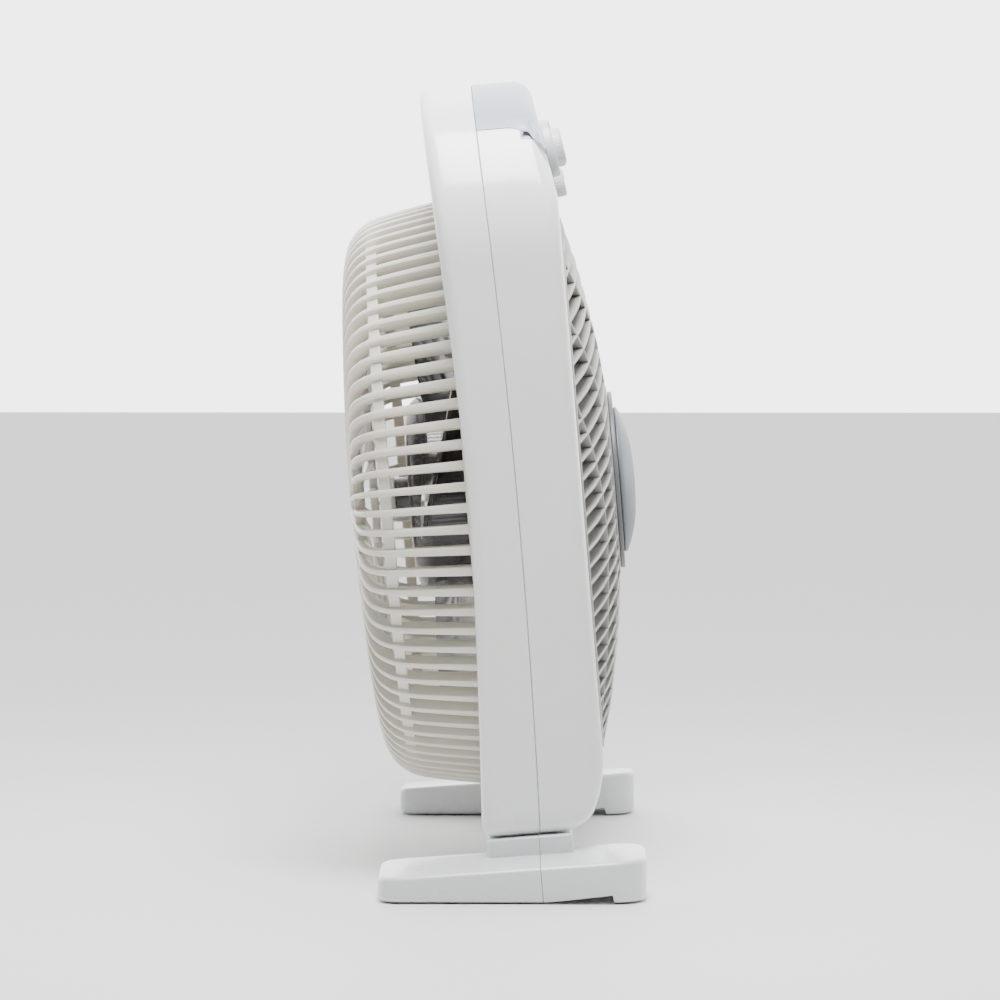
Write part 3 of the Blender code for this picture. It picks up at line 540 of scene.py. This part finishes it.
def side_rows(depth, edge, towards):
    """The body's side between the seam and the rounded edge. The seam's own edge is slightly eased."""
    outline, eased = body_outline(0), body_outline(SEAM_GROOVE)
    rows = [[(x, y, depth(y)) for x, y in eased]]
    rows.append([(x, y, depth(y) + towards * SEAM_GROOVE) for x, y in outline])
    for step in range(1, SIDE_STEPS):
        share = step / SIDE_STEPS
        rows.append([(x, y, depth(y) * (1 - share) + edge(y) * share) for x, y in outline])
    return rows


def panel_tool(name, grow):
    """The space of the control panel: above a side line, plus a face plate that dips to the louvre."""
    lift, corner = PANEL_SIDE - grow, PANEL_FRONT - grow
    line = [(-0.03, lift), (0.0150, lift), (0.0239, lift - 0.0052), (0.0345, corner), (0.060, corner)]
    line = rounded(line, [0, 0.008, 0.008, 0.004, 0], 5, closed=False)
    bm = bmesh.new()
    prism(bm, [*line, (0.060, 0.30), (-0.03, 0.30)], -0.25, 0.25)
    bm.transform(Matrix(((0, 0, -1, 0), (0, 1, 0, 0), (1, 0, 0, 0), (0, 0, 0, 1))))
    region = scratch(name, bm)
    rim = PANEL_ARC - grow
    half_angle = math.degrees(math.asin(PANEL_ARC_HALF / rim))
    lower = arc(0, 0, rim, 90 - half_angle, 90 + half_angle, 40)
    out = PANEL_HALF + grow
    outline = [(out, 0.21), (out, corner), *lower, (-out, corner), (-out, 0.21)]
    sizes = [0, 0.010, 0.020, *[0] * (len(lower) - 2), 0.020, 0.010, 0]
    bm = bmesh.new()
    prism(bm, rounded(outline[::-1], sizes[::-1], 5), 0.018, 0.058)
    face = scratch(f"{name}_face", bm)
    boolean(region, face, "UNION")
    return settle(region, [face])


CORNER_SCREWS = [
    (side * x, y)
    for x, y in ((0.158, 0.385 - AXIS_HEIGHT), (0.178, 0.052 - AXIS_HEIGHT))
    for side in (-1, 1)
]


def make_rear_housing():
    edge = lambda y: rear_face(y) + REAR_EDGE
    rows = [
        *side_rows(lambda y: seam(y) - SEAM_EASE, edge, -1),
        *edge_rows(REAR_EDGE, rear_face, -1),
        *lip_rows(GUARD_SEAT, rear_face, -1, 0.0012),
        circle(GUARD_SEAT, GUARD_LEDGE),
        circle(DUCT_REAR + 0.001, GUARD_LEDGE),
        circle(DUCT_REAR, GUARD_LEDGE + 0.001),
        circle(DUCT_REAR, -0.0175),
    ]
    piece = add("rear_shell", shell(rows, True), "white_plastic", HOUSING, replaces=["rear_housing"])
    thicken(piece)
    posts = boolean(piece, scratch("posts", cylinders(CORNER_SCREWS, 0.0065, -0.0320, -0.0010)), "UNION")
    sinks = boolean(piece, scratch("sinks", cylinders(CORNER_SCREWS, 0.0045, -0.0600, -0.0295)))
    settle(piece, [posts, sinks])


def front_half(name, slot, replaced):
    edge = lambda y: front_face(y) - FRONT_EDGE
    rim = edge_rows(FRONT_EDGE, front_face, 1)
    mouth = lip_rows(DUCT_FRONT, front_face, 1, 0.0022, 4)
    rows = [*side_rows(lambda y: seam(y) + SEAM_EASE, edge, 1), *rim]
    rows += [between(rim[-1], mouth[0], share, front_face) for share in (0.12, 0.25, 0.4, 0.55, 0.7, 0.85)]
    rows += [*mouth, circle(DUCT_FRONT, 0.012), circle(DUCT_FRONT, -0.0022)]
    piece = add(name, shell(rows, False), slot, HOUSING, replaces=[replaced])
    thicken(piece)
    return piece


def make_front_housing_and_panel():
    body = front_half("front_shell", "white_plastic", "front_housing")
    opening = boolean(body, panel_tool("panel_opening", PANEL_GAP), careful=True)
    settle(body, [opening])
    panel = front_half("top_panel", "panel_plastic", "control_panel")
    region = boolean(panel, panel_tool("panel_region", 0), "INTERSECT", careful=True)
    holes = [
        boolean(panel, scratch("knob_hole", cylinders([(0, 0)], 0.0050, -0.01, 0.01), place))
        for place in (TIMER, SPEED, SWITCH)
    ]
    settle(panel, [region, *holes])


# ---- scales and knobs ----
SCALES = [
    # name, frame, dots, degrees turned, radius of the circle of dots
    ("timer_scale", TIMER, 13, 300, 0.0196),
    ("speed_scale", SPEED, 4, 135, 0.0196),
    ("louvre_scale", SWITCH, 2, 60, 0.0112),
]
LARGE_DOT, SMALL_DOT = 0.0009, 0.0006


def make_scales():
    """Raised dots round each knob. On a long scale every third dot is large."""
    for name, place, count, turned, reach in SCALES:
        bm = bmesh.new()
        for index in range(count):
            angle = math.radians(90 - turned * index / (count - 1))
            x, y = reach * math.cos(angle), reach * math.sin(angle)
            radius = LARGE_DOT if index % 3 == 0 or count < 5 else SMALL_DOT
            profile = [(radius, -0.0004), (radius, 0.0001), (radius * 0.7, 0.00035), (0, 0.0004)]
            dot = bmesh.new()
            lathe(dot, [(0, -0.0004), *profile], 14, closed=False)
            dot.transform(Matrix.Translation((x, y, 0)))
            mesh = bpy.data.meshes.new("dot")
            dot.to_mesh(mesh)
            dot.free()
            bm.from_mesh(mesh)
            bpy.data.meshes.remove(mesh)
        add(name, close_up(bm), "knob_plastic", HOUSING, place)


def make_knob(name, place, body, node, profile, flutes, pointer):
    """A turned knob with fine flutes round its grip and a raised pointer on its face.

    flutes: number, circle, radius and the heights they run between. pointer: its two corners.
    """
    bm = bmesh.new()
    outline, radii = zip(*profile)
    lathe(bm, rounded(outline, list(radii), 5, closed=False), 120, closed=False)
    knob = add(name, close_up(bm), "knob_plastic", body, place, replaces=[node])
    count, circle_radius, radius, low, high = flutes
    angles = [2 * math.pi * (index + 0.5) / count for index in range(count)]
    places = [(circle_radius * math.cos(a), circle_radius * math.sin(a)) for a in angles]
    tool = boolean(knob, scratch("flutes", cylinders(places, radius, low, high, 12), place))
    settle(knob, [tool])
    bm = bmesh.new()
    (x0, y0, z0), (x1, y1, z1) = pointer
    prism(bm, rounded([(x0, y0), (x1, y0), (x1, y1), (x0, y1)], (x1 - x0) * 0.45, 4), z0, z1)
    line = add(f"{name}_pointer", bm, "cap_plastic", body, place)
    bevel(line, 0.0002, 2)
    settle(line)


SKIRTED = [
    ((0, 0.0110), 0),
    ((0.0108, 0.0110), 0.0022),
    ((0.0108, 0.0056), 0.0006),
    ((0.0172, 0.0056), 0.0014),
    ((0.0172, 0.0006), 0.0003),
    ((0, 0.0006), 0),
]
SMALL = [((0, 0.0068), 0), ((0.0090, 0.0068), 0.0022), ((0.0090, 0.0006), 0.0003), ((0, 0.0006), 0)]


def make_knobs():
    flutes = 36, 0.01105, 0.00042, 0.0062, 0.0093
    pointer = (-0.0006, 0.0112, 0.0050), (0.0006, 0.0158, 0.0061)
    make_knob("timer_dial", TIMER, "timer_control", "timer_knob", SKIRTED, flutes, pointer)
    make_knob("speed_dial", SPEED, "speed_control", "speed_knob", SKIRTED, flutes, pointer)
    flutes = 30, 0.00925, 0.00042, 0.0014, 0.0050
    pointer = (-0.0005, 0.0010, 0.0060), (0.0005, 0.0066, 0.0072)
    make_knob("louvre_dial", SWITCH, "louvre_control", "louvre_knob", SMALL, flutes, pointer)


# ---- rear guard ----
GUARD_PATH = [
    (0.1768, -0.0292),
    (0.1740, -0.0460),
    (0.1712, -0.0610),
    (0.1688, -0.0716),
    (0.1660, -0.0789),
    (0.1612, -0.0852),
    (0.1535, -0.0906),
    (0.1400, -0.0942),
    (0.1200, -0.0962),
    (0.0900, -0.0984),
    (0.0600, -0.1002),
    (0.0400, -0.1010),
]
GUARD_RIBS = 90
RIB_ROUND = 0.0016
SHORT_RIB_END = 0.1165


def along_path(path, index):
    """Place and outward normal at one point of a (radius, z) path."""
    before, after = path[max(index - 1, 0)], path[min(index + 1, len(path) - 1)]
    run = Vector((after[0] - before[0], after[1] - before[1])).normalized()
    return Vector(path[index]), Vector((-run.y, run.x))


def rib_stations(path, angle, width, depth):
    """Rings of a rib that stands on a path, its outer side on it."""
    out = Vector((math.cos(angle), math.sin(angle), 0))
    across = Vector((-math.sin(angle), math.cos(angle), 0))
    stations = []
    for index in range(len(path)):
        (radius, z), normal = along_path(path, index)
        if normal.x < normal.y:
            normal = -normal
        share = index / (len(path) - 1)
        ring = []
        for u, v in section(width(radius, z), depth(radius, z), RIB_ROUND):
            ring.append(out * (radius + normal.x * v) + Vector((0, 0, z + normal.y * v)) + across * u)
        stations.append(ring)
    return stations


def rib_width(radius, z):
    """Ribs are broad at the rim and slim towards the centre."""
    if z > -0.0716:
        return 0.0040 + 0.0014 * (z + 0.0716) / 0.0424
    return max(0.0040 - 0.0018 * (0.169 - radius) / 0.05, 0.0022)


def rib_depth(radius, z):
    if z > -0.0789:
        return 0.0085
    return max(0.0085 - 0.0035 * (0.166 - radius) / 0.05, 0.0045)


def make_rear_guard():
    bm = bmesh.new()
    full = smooth_path(GUARD_PATH, 40)
    short = [point for point in full if point[0] > SHORT_RIB_END]
    for index in range(GUARD_RIBS):
        path = full if index % 2 == 0 else short
        sweep(bm, rib_stations(path, 2 * math.pi * index / GUARD_RIBS, rib_width, rib_depth))
    seat = [(0.1776, -0.0268), (0.1776, -0.0284), (0.1768, -0.0292), (0.1700, -0.0292), (0.1700, -0.0268)]
    band = [(0.1655, -0.0722), (0.1636, -0.0786), (0.1612, -0.0780), (0.1631, -0.0716)]
    inner_ring = [(0.1212, -0.0952), (0.1172, -0.0955), (0.1172, -0.0905), (0.1212, -0.0900)]
    for ring, radius in ((seat, 0.0006), (band, 0.0007), (inner_ring, 0.0009)):
        lathe(bm, rounded(ring, radius), 180)
    disc = [
        (0, -0.1012),
        (0.0290, -0.1010),
        (0.0305, -0.1004),
        (0.0320, -0.1004),
        (0.0335, -0.1010),
        (0.0405, -0.1010),
        (0.0430, -0.0996),
        (0.0430, -0.0955),
        (0.0410, -0.0955),
        (0.0405, -0.0975),
        (0, -0.0980),
    ]
    lathe(bm, rounded(disc, 0.0012, 4, closed=False), 144, closed=False)
    add("basket_guard", close_up(bm), "guard_plastic", HOUSING, replaces=["rear_guard"])


# ---- louvre ----
LOUVRE_DOME = [
    (0.1600, 0.0372),
    (0.1335, 0.0442),
    (0.1090, 0.0490),
    (0.0845, 0.0532),
    (0.0560, 0.0562),
    (0.0400, 0.0566),
]
LOUVRE_TURN = 11.5
LOUVRE_RIM, LOUVRE_HUB = 0.1578, 0.0556
SUNK_IN_RIM, SUNK_IN_HUB = 0.0010, 0.0008
HALF_SLAT = 0.17
SLAT_PITCH, SLAT_WIDTH, SLAT_DEPTH = 0.0101, 0.0020, 0.0115
SLAT_ROWS = 15
TIE_WIDTH, TIE_DEPTH = 0.0021, 0.0108
FINE_STEP = 0.0005  # how finely a slat's line is cut before its ends are found
SHORTEST_RUN, POINTS_PER_STATION = 12, 16
TIES = [
    # half of the ribs that tie the slats, along and across them; the others are turned by 180 degrees
    [
        (-0.1480, 0.1100), (-0.1470, 0.1060), (-0.1370, 0.0866), (-0.1277, 0.0668),
        (-0.1166, 0.0462), (-0.1096, 0.0254), (-0.1057, 0.0072), (-0.1066, -0.0150),
        (-0.1090, -0.0390), (-0.1113, -0.0630), (-0.1103, -0.0857), (-0.1088, -0.1136),
        (-0.1085, -0.1300),
    ],
    [
        (-0.1120, 0.1350), (-0.1014, 0.1237), (-0.0899, 0.1101), (-0.0757, 0.0893),
        (-0.0664, 0.0747), (-0.0636, 0.0558), (-0.0646, 0.0336), (-0.0661, 0.0135),
        (-0.0677, -0.0066), (-0.0674, -0.0251), (-0.0675, -0.0600), (-0.0675, -0.1000),
        (-0.0675, -0.1500),
    ],
    [
        (-0.0560, 0.1500), (-0.0403, 0.1281), (-0.0271, 0.1178), (-0.0151, 0.1061),
        (-0.0040, 0.0980), (0.0010, 0.0900), (-0.0010, 0.0800), (-0.0025, 0.0700),
        (-0.0030, 0.0500),
    ],
]


def dome(radius):
    """How far forward the louvre's front lies at a radius."""
    for (r0, z0), (r1, z1) in zip(LOUVRE_DOME, LOUVRE_DOME[1:]):
        if radius >= r1:
            return z0 + (z1 - z0) * (radius - r0) / (r1 - r0)
    return LOUVRE_DOME[-1][1]


def blade(bm, line, width, depth, turn):
    """A slat that stands on edge under the dome along a line of (x, y) points, rounded in front."""
    cos, sin = math.cos(turn), math.sin(turn)
    front, back = width / 2, width / 2 * 0.8
    corners = [(front, 0), (back, -depth), (-back, -depth), (-front, 0)]
    profile = rounded(corners, [0.0008, 0.0003, 0.0003, 0.0008], 3)
    stations = []
    for index, (x, y) in enumerate(line):
        x0, y0 = line[max(index - 1, 0)]
        x1, y1 = line[min(index + 1, len(line) - 1)]
        run = Vector((x1 - x0, y1 - y0)).normalized()
        ring = []
        for u, v in profile:
            px, py = x - run.y * u, y + run.x * u
            ring.append((px * cos - py * sin, px * sin + py * cos, dome(math.hypot(x, y)) + v))
        stations.append(ring)
    sweep(bm, stations)


def inside(line, low, high):
    """The runs of a line between two circles, with their ends on the circles."""
    fine = []
    for (x0, y0), (x1, y1) in zip(line, line[1:]):
        steps = max(int(math.hypot(x1 - x0, y1 - y0) / FINE_STEP), 1)
        fine += [(x0 + (x1 - x0) * i / steps, y0 + (y1 - y0) * i / steps) for i in range(steps)]
    fine.append(line[-1])
    runs, run = [], []
    for point in fine:
        if low <= math.hypot(*point) <= high:
            run.append(point)
        elif run:
            runs.append(run)
            run = []
    if run:
        runs.append(run)
    out = []
    for run in runs:
        if len(run) > SHORTEST_RUN:
            count = max(int(len(run) / POINTS_PER_STATION), 3)
            out.append([run[round(i * (len(run) - 1) / count)] for i in range(count + 1)])
    return out


def make_louvre():
    """Straight slats across the whole opening, tied by curved ribs, between a rim and a hub ring."""
    bm = bmesh.new()
    turn = math.radians(LOUVRE_TURN)
    low, high = LOUVRE_HUB - SUNK_IN_HUB, LOUVRE_RIM + SUNK_IN_RIM
    for index in range(-SLAT_ROWS, SLAT_ROWS + 1):
        y = index * SLAT_PITCH
        for run in inside([(-HALF_SLAT, y), (HALF_SLAT, y)], low, high):
            blade(bm, run, SLAT_WIDTH, SLAT_DEPTH, turn)
    for line in TIES:
        path = smooth_path(line, 120)
        for side in (1, -1):
            for run in inside([(side * x, side * y) for x, y in path], low, high):
                blade(bm, run, TIE_WIDTH, TIE_DEPTH, turn)
    rim = [(0.1600, 0.0375), (0.1600, 0.0262), (0.1578, 0.0262), (0.1578, 0.0380)]
    hub = [
        (0.0565, 0.0564),
        (0.0565, 0.0455),
        (0.0545, 0.0455),
        (0.0545, 0.0540),
        (0.0400, 0.0540),
        (0.0400, 0.0567),
    ]
    lathe(bm, rounded(rim, 0.0009), 200)
    lathe(bm, rounded(hub, 0.0008), 200)
    add("slat_louvre", close_up(bm), "louvre_plastic", LOUVRE, replaces=["louvre_grille"])


def make_louvre_hub():
    flange = [
        (0.0445, 0.0588),
        (0.0450, 0.0593),
        (0.0526, 0.0593),
        (0.0531, 0.0588),
        (0.0531, 0.0568),
        (0.0090, 0.0568),
        (0.0080, 0.0440),
        (0.0034, 0.0440),
        (0.0034, 0.0588),
    ]
    bm = bmesh.new()
    lathe(bm, rounded(flange, 0.0004, 3), 144)
    add("hub_flange", close_up(bm), "flange_plastic", LOUVRE, replaces=["louvre_flange"])
    lens = [(0, 0.0693), (0.0150, 0.0687), (0.0250, 0.0675), (0.0340, 0.0652), (0.0400, 0.0631)]
    edge = [
        (0.0429, 0.0617),
        (0.0437, 0.0609),
        (0.0437, 0.0602),
        (0.0430, 0.0596),
        (0.0413, 0.0596),
        (0.0411, 0.0608),
    ]
    inner = [(0.0360, 0.0632), (0.0270, 0.0653), (0.0150, 0.0666), (0, 0.0669)]
    bm = bmesh.new()
    lathe(bm, [*smooth_path(lens, 24), *edge, *inner], 144, closed=False)
    add("hub_dome", close_up(bm), "cap_plastic", LOUVRE, replaces=["louvre_hub_cap"])


# ---- fan wheel ----
BLADE_STATIONS = [
    # radius, angle that the chord spans, middle of the chord
    (0.0590, 46, 0),
    (0.0800, 54, 3),
    (0.1050, 60, 7),
    (0.1350, 62, 12),
    (0.1460, 55, 14.5),
    (0.1500, 44, 16),
]
BLADES = 5
CHORD_STEPS = 24
BLADE_MIDDLE, BLADE_RISE, BLADE_BOW = -0.0390, 0.0178, 0.0030
WIDEST_SPAN = 62
BLADE_THICKNESS = 0.0018


def make_impeller():
    cup = [(0.0600, -0.0165), (0.0600, -0.0540), (0.0585, -0.0595), (0.0540, -0.0640), (0.0470, -0.0660),
           (0.0120, -0.0660), (0.0120, -0.0747), (0.0044, -0.0747), (0.0044, -0.0600), (0.0100, -0.0600),
           (0.0100, -0.0636), (0.0450, -0.0636), (0.0525, -0.0615), (0.0562, -0.0575), (0.0578, -0.0530),
           (0.0578, -0.0165)]
    sizes = [0.0005, 0.003, 0.003, 0.004, 0.004, 0.0015, 0.0008, 0.0005, 0.0005, 0.0005,
             0.001, 0.003, 0.003, 0.003, 0.003, 0.0005]
    bm = bmesh.new()
    lathe(bm, rounded(cup, sizes, 4), 144)
    wheel = add("fan_wheel", close_up(bm), "smoked_plastic", IMPELLER, replaces=["impeller"])
    bm = bmesh.new()
    stations = smooth_path(BLADE_STATIONS, 22)
    for blade in range(BLADES):
        rows = []
        for radius, span, middle in stations:
            row = []
            for step in range(CHORD_STEPS + 1):
                along = step / CHORD_STEPS * 2 - 1
                angle = math.radians(360 * blade / BLADES + middle + along * span / 2)
                depth = BLADE_RISE * (span / WIDEST_SPAN) ** 0.5
                z = BLADE_MIDDLE - depth * along + BLADE_BOW * (1 - along * along)
                row.append((radius * math.cos(angle), radius * math.sin(angle), z))
            rows.append(row)
        rings_mesh(bm, rows, False, closed_ring=False)
    blades = scratch("blades", bm)
    solidify = blades.modifiers.new("wall", "SOLIDIFY")
    solidify.thickness = BLADE_THICKNESS
    solidify.offset = 0
    boolean(wheel, blades, "UNION")
    settle(wheel, [blades])
    nut = [(0, -0.0792), (0.0044, -0.0792), (0.0044, -0.0750), (0.0130, -0.0750), (0.0128, -0.0785),
           (0.0100, -0.0808), (0, -0.0818)]
    bm = bmesh.new()
    lathe(bm, rounded(nut, 0.0012, 4, closed=False), 60, closed=False)
    hub_nut = add("wheel_nut", close_up(bm), "nut_plastic", IMPELLER, replaces=["spinner_nut"])
    turns = [math.radians(degrees) for degrees in range(0, 360, 30)]
    grips = [(0.0135 * math.cos(a), 0.0135 * math.sin(a)) for a in turns]
    flutes = boolean(hub_nut, scratch("flutes", cylinders(grips, 0.0014, -0.090, -0.0760, 16)))
    settle(hub_nut, [flutes])


# ---- feet ----
LEAN_FRAME = FAN @ Matrix.Rotation(math.radians(-90), 4, "X") @ Matrix.Translation((0, 0, -AXIS_HEIGHT))
ORIGIN_Y = LEAN_FRAME.translation.y
FOOT_INNER, FOOT_OUTER = 0.174, 0.236
FOOT_FRONT, FOOT_REAR = 0.0542, -0.0962
SOLE = 0.0008
FOOT_SPLIT = -0.0035


def foot_top(x, y):
    from_rear = (ORIGIN_Y - y - FOOT_REAR) / (FOOT_FRONT - FOOT_REAR)
    outwards = (abs(x) - FOOT_INNER) / (FOOT_OUTER - FOOT_INNER)
    return 0.0174 + 0.0107 * from_rear - 0.0032 * outwards


def foot_outline(side):
    front, rear = ORIGIN_Y - FOOT_FRONT, ORIGIN_Y - FOOT_REAR
    tight, wide = 0.012, 0.018
    points = (
        arc(FOOT_OUTER - wide, front + wide, wide, 270, 360, 12)
        + arc(FOOT_OUTER - tight, rear - tight, tight, 0, 90, 12)
        + arc(FOOT_INNER + tight, rear - tight, tight, 90, 180, 12)
        + arc(FOOT_INNER + wide, front + wide, wide, 180, 270, 12)
    )
    return [(side * x, y) for x, y in points][::side]


def block(low, high):
    bm = bmesh.new()
    (x0, y0, z0), (x1, y1, z1) = low, high
    return prism(bm, [(x0, y0), (x1, y0), (x1, y1), (x0, y1)], z0, z1)


def make_foot(side, half):
    node = f"{'left' if side < 0 else 'right'}_{half}_foot"
    world = Matrix.Identity(4)
    bm = bmesh.new()
    prism(bm, foot_outline(side), SOLE, foot_top)
    foot = add(f"{node}_shell", bm, "foot_plastic", HOUSING, world, replaces=[node])
    bevel(foot, 0.0030, 5)
    inner, outer = sorted((side * 0.172, side * 0.195))
    neck = scratch("neck", block((inner, -0.0153, 0.006), (outer, 0.033, 0.0337)), LEAN_FRAME)
    bevel(neck, 0.0015)
    tools = [boolean(foot, neck, "UNION")]
    if half == "rear":
        away = block((-0.3, -0.2, -0.05), (0.3, -FOOT_SPLIT + SEAM_EASE, 0.06))
    else:
        away = block((-0.3, -FOOT_SPLIT - SEAM_EASE, -0.05), (0.3, 0.2, 0.06))
        bm = bmesh.new()
        prism(bm, [(-0.008, -0.002), (0.0365, -0.002), (0.0350, 0.0052), (-0.004, SOLE)], -0.3, 0.3)
        bm.transform(Matrix(((0, 0, -1, 0), (-1, 0, 0, ORIGIN_Y), (0, 1, 0, 0), (0, 0, 0, 1))))
        tools.append(boolean(foot, scratch("arch", bm, world)))
    tools.append(boolean(foot, scratch("away", away, LEAN_FRAME)))
    screw = [(side * 0.1835, 0.018 if half == "rear" else -0.006)]
    tools.append(boolean(foot, scratch("sink", cylinders(screw, 0.0045, -0.02, 0.012), LEAN_FRAME)))
    forward = -0.075 if half == "rear" else 0.0445
    pad = [(side * 0.205, ORIGIN_Y - forward)]
    tools.append(boolean(foot, scratch("pocket", cylinders(pad, 0.0064, -0.01, 0.0026), world)))
    settle(foot, tools)


# ---- the frame's own nodes that stay ----
def finish_nodes():
    """Every node that stays in view takes the procedural material of its slot."""
    slots = {part["node"]: part["material_slot"] for part in frame["record"]["subparts"]}
    for name, node in frame["nodes"].items():
        node.data.materials.clear()
        node.data.materials.append(MATERIALS[slots[name]])
        node.data.shade_smooth()
        node.data.set_sharp_from_angle(angle=SHARP)


# ---- camera, floor and light ----
def make_camera():
    """The fan's left side, from 2.9 m away and a little above its middle."""
    camera = bpy.data.objects.new("camera", bpy.data.cameras.new("camera"))
    bpy.context.scene.collection.objects.link(camera)
    camera.location = (-2.926, -0.0347, 0.376)
    aim = Vector((0, -0.0046, 0.2124)) - camera.location
    camera.rotation_euler = aim.to_track_quat("-Z", "Y").to_euler()
    camera.data.lens = 175.1
    camera.data.sensor_width = 36
    bpy.context.scene.camera = camera


def area_light(name, place, aim, size, power):
    light = bpy.data.lights.new(name, "AREA")
    light.shape = "RECTANGLE"
    light.size, light.size_y = size
    light.energy = power
    lamp = bpy.data.objects.new(name, light)
    bpy.context.scene.collection.objects.link(lamp)
    lamp.location = place
    lamp.rotation_euler = (Vector(aim) - Vector(place)).to_track_quat("-Z", "Y").to_euler()


def make_studio():
    bpy.ops.mesh.primitive_plane_add(size=14, location=(0, 0, 0))
    floor = bpy.context.object
    floor.name = "floor"
    shader = Shader("floor", (0.84, 0.84, 0.84), 0.6)
    shader.mottle(2, 0.01)
    floor.data.materials.append(shader.material)
    world = bpy.data.worlds.new("studio")
    bpy.context.scene.world = world
    world.use_nodes = True
    tree = world.node_tree
    # A bright backdrop behind the fan and a dimmer room on the camera's side.
    place = tree.nodes.new("ShaderNodeTexCoord")
    split = tree.nodes.new("ShaderNodeSeparateXYZ")
    ramp = tree.nodes.new("ShaderNodeMapRange")
    for key, value in (("From Min", 0.0), ("From Max", 0.75), ("To Min", 0.10), ("To Max", 4.4)):
        ramp.inputs[key].default_value = value
    tree.links.new(place.outputs["Generated"], split.inputs["Vector"])
    tree.links.new(split.outputs["X"], ramp.inputs["Value"])
    tree.links.new(ramp.outputs["Result"], tree.nodes["Background"].inputs["Strength"])
    tree.nodes["Background"].inputs["Color"].default_value = (1, 1, 1, 1)
    area_light("key", (-0.36, -0.02, 1.00), (-0.16, 0, 0.40), (0.36, 0.50), 18)
    area_light("front", (-0.10, -1.4, 1.1), (0, 0, 0.25), (0.9, 0.9), 2)


make_camera()
make_studio()
finish_nodes()
make_rear_housing()
make_front_housing_and_panel()
make_scales()
make_knobs()
make_rear_guard()
make_louvre()
make_louvre_hub()
make_impeller()
for foot_side in (-1, 1):
    for foot_half in ("rear", "front"):
        make_foot(foot_side, foot_half)
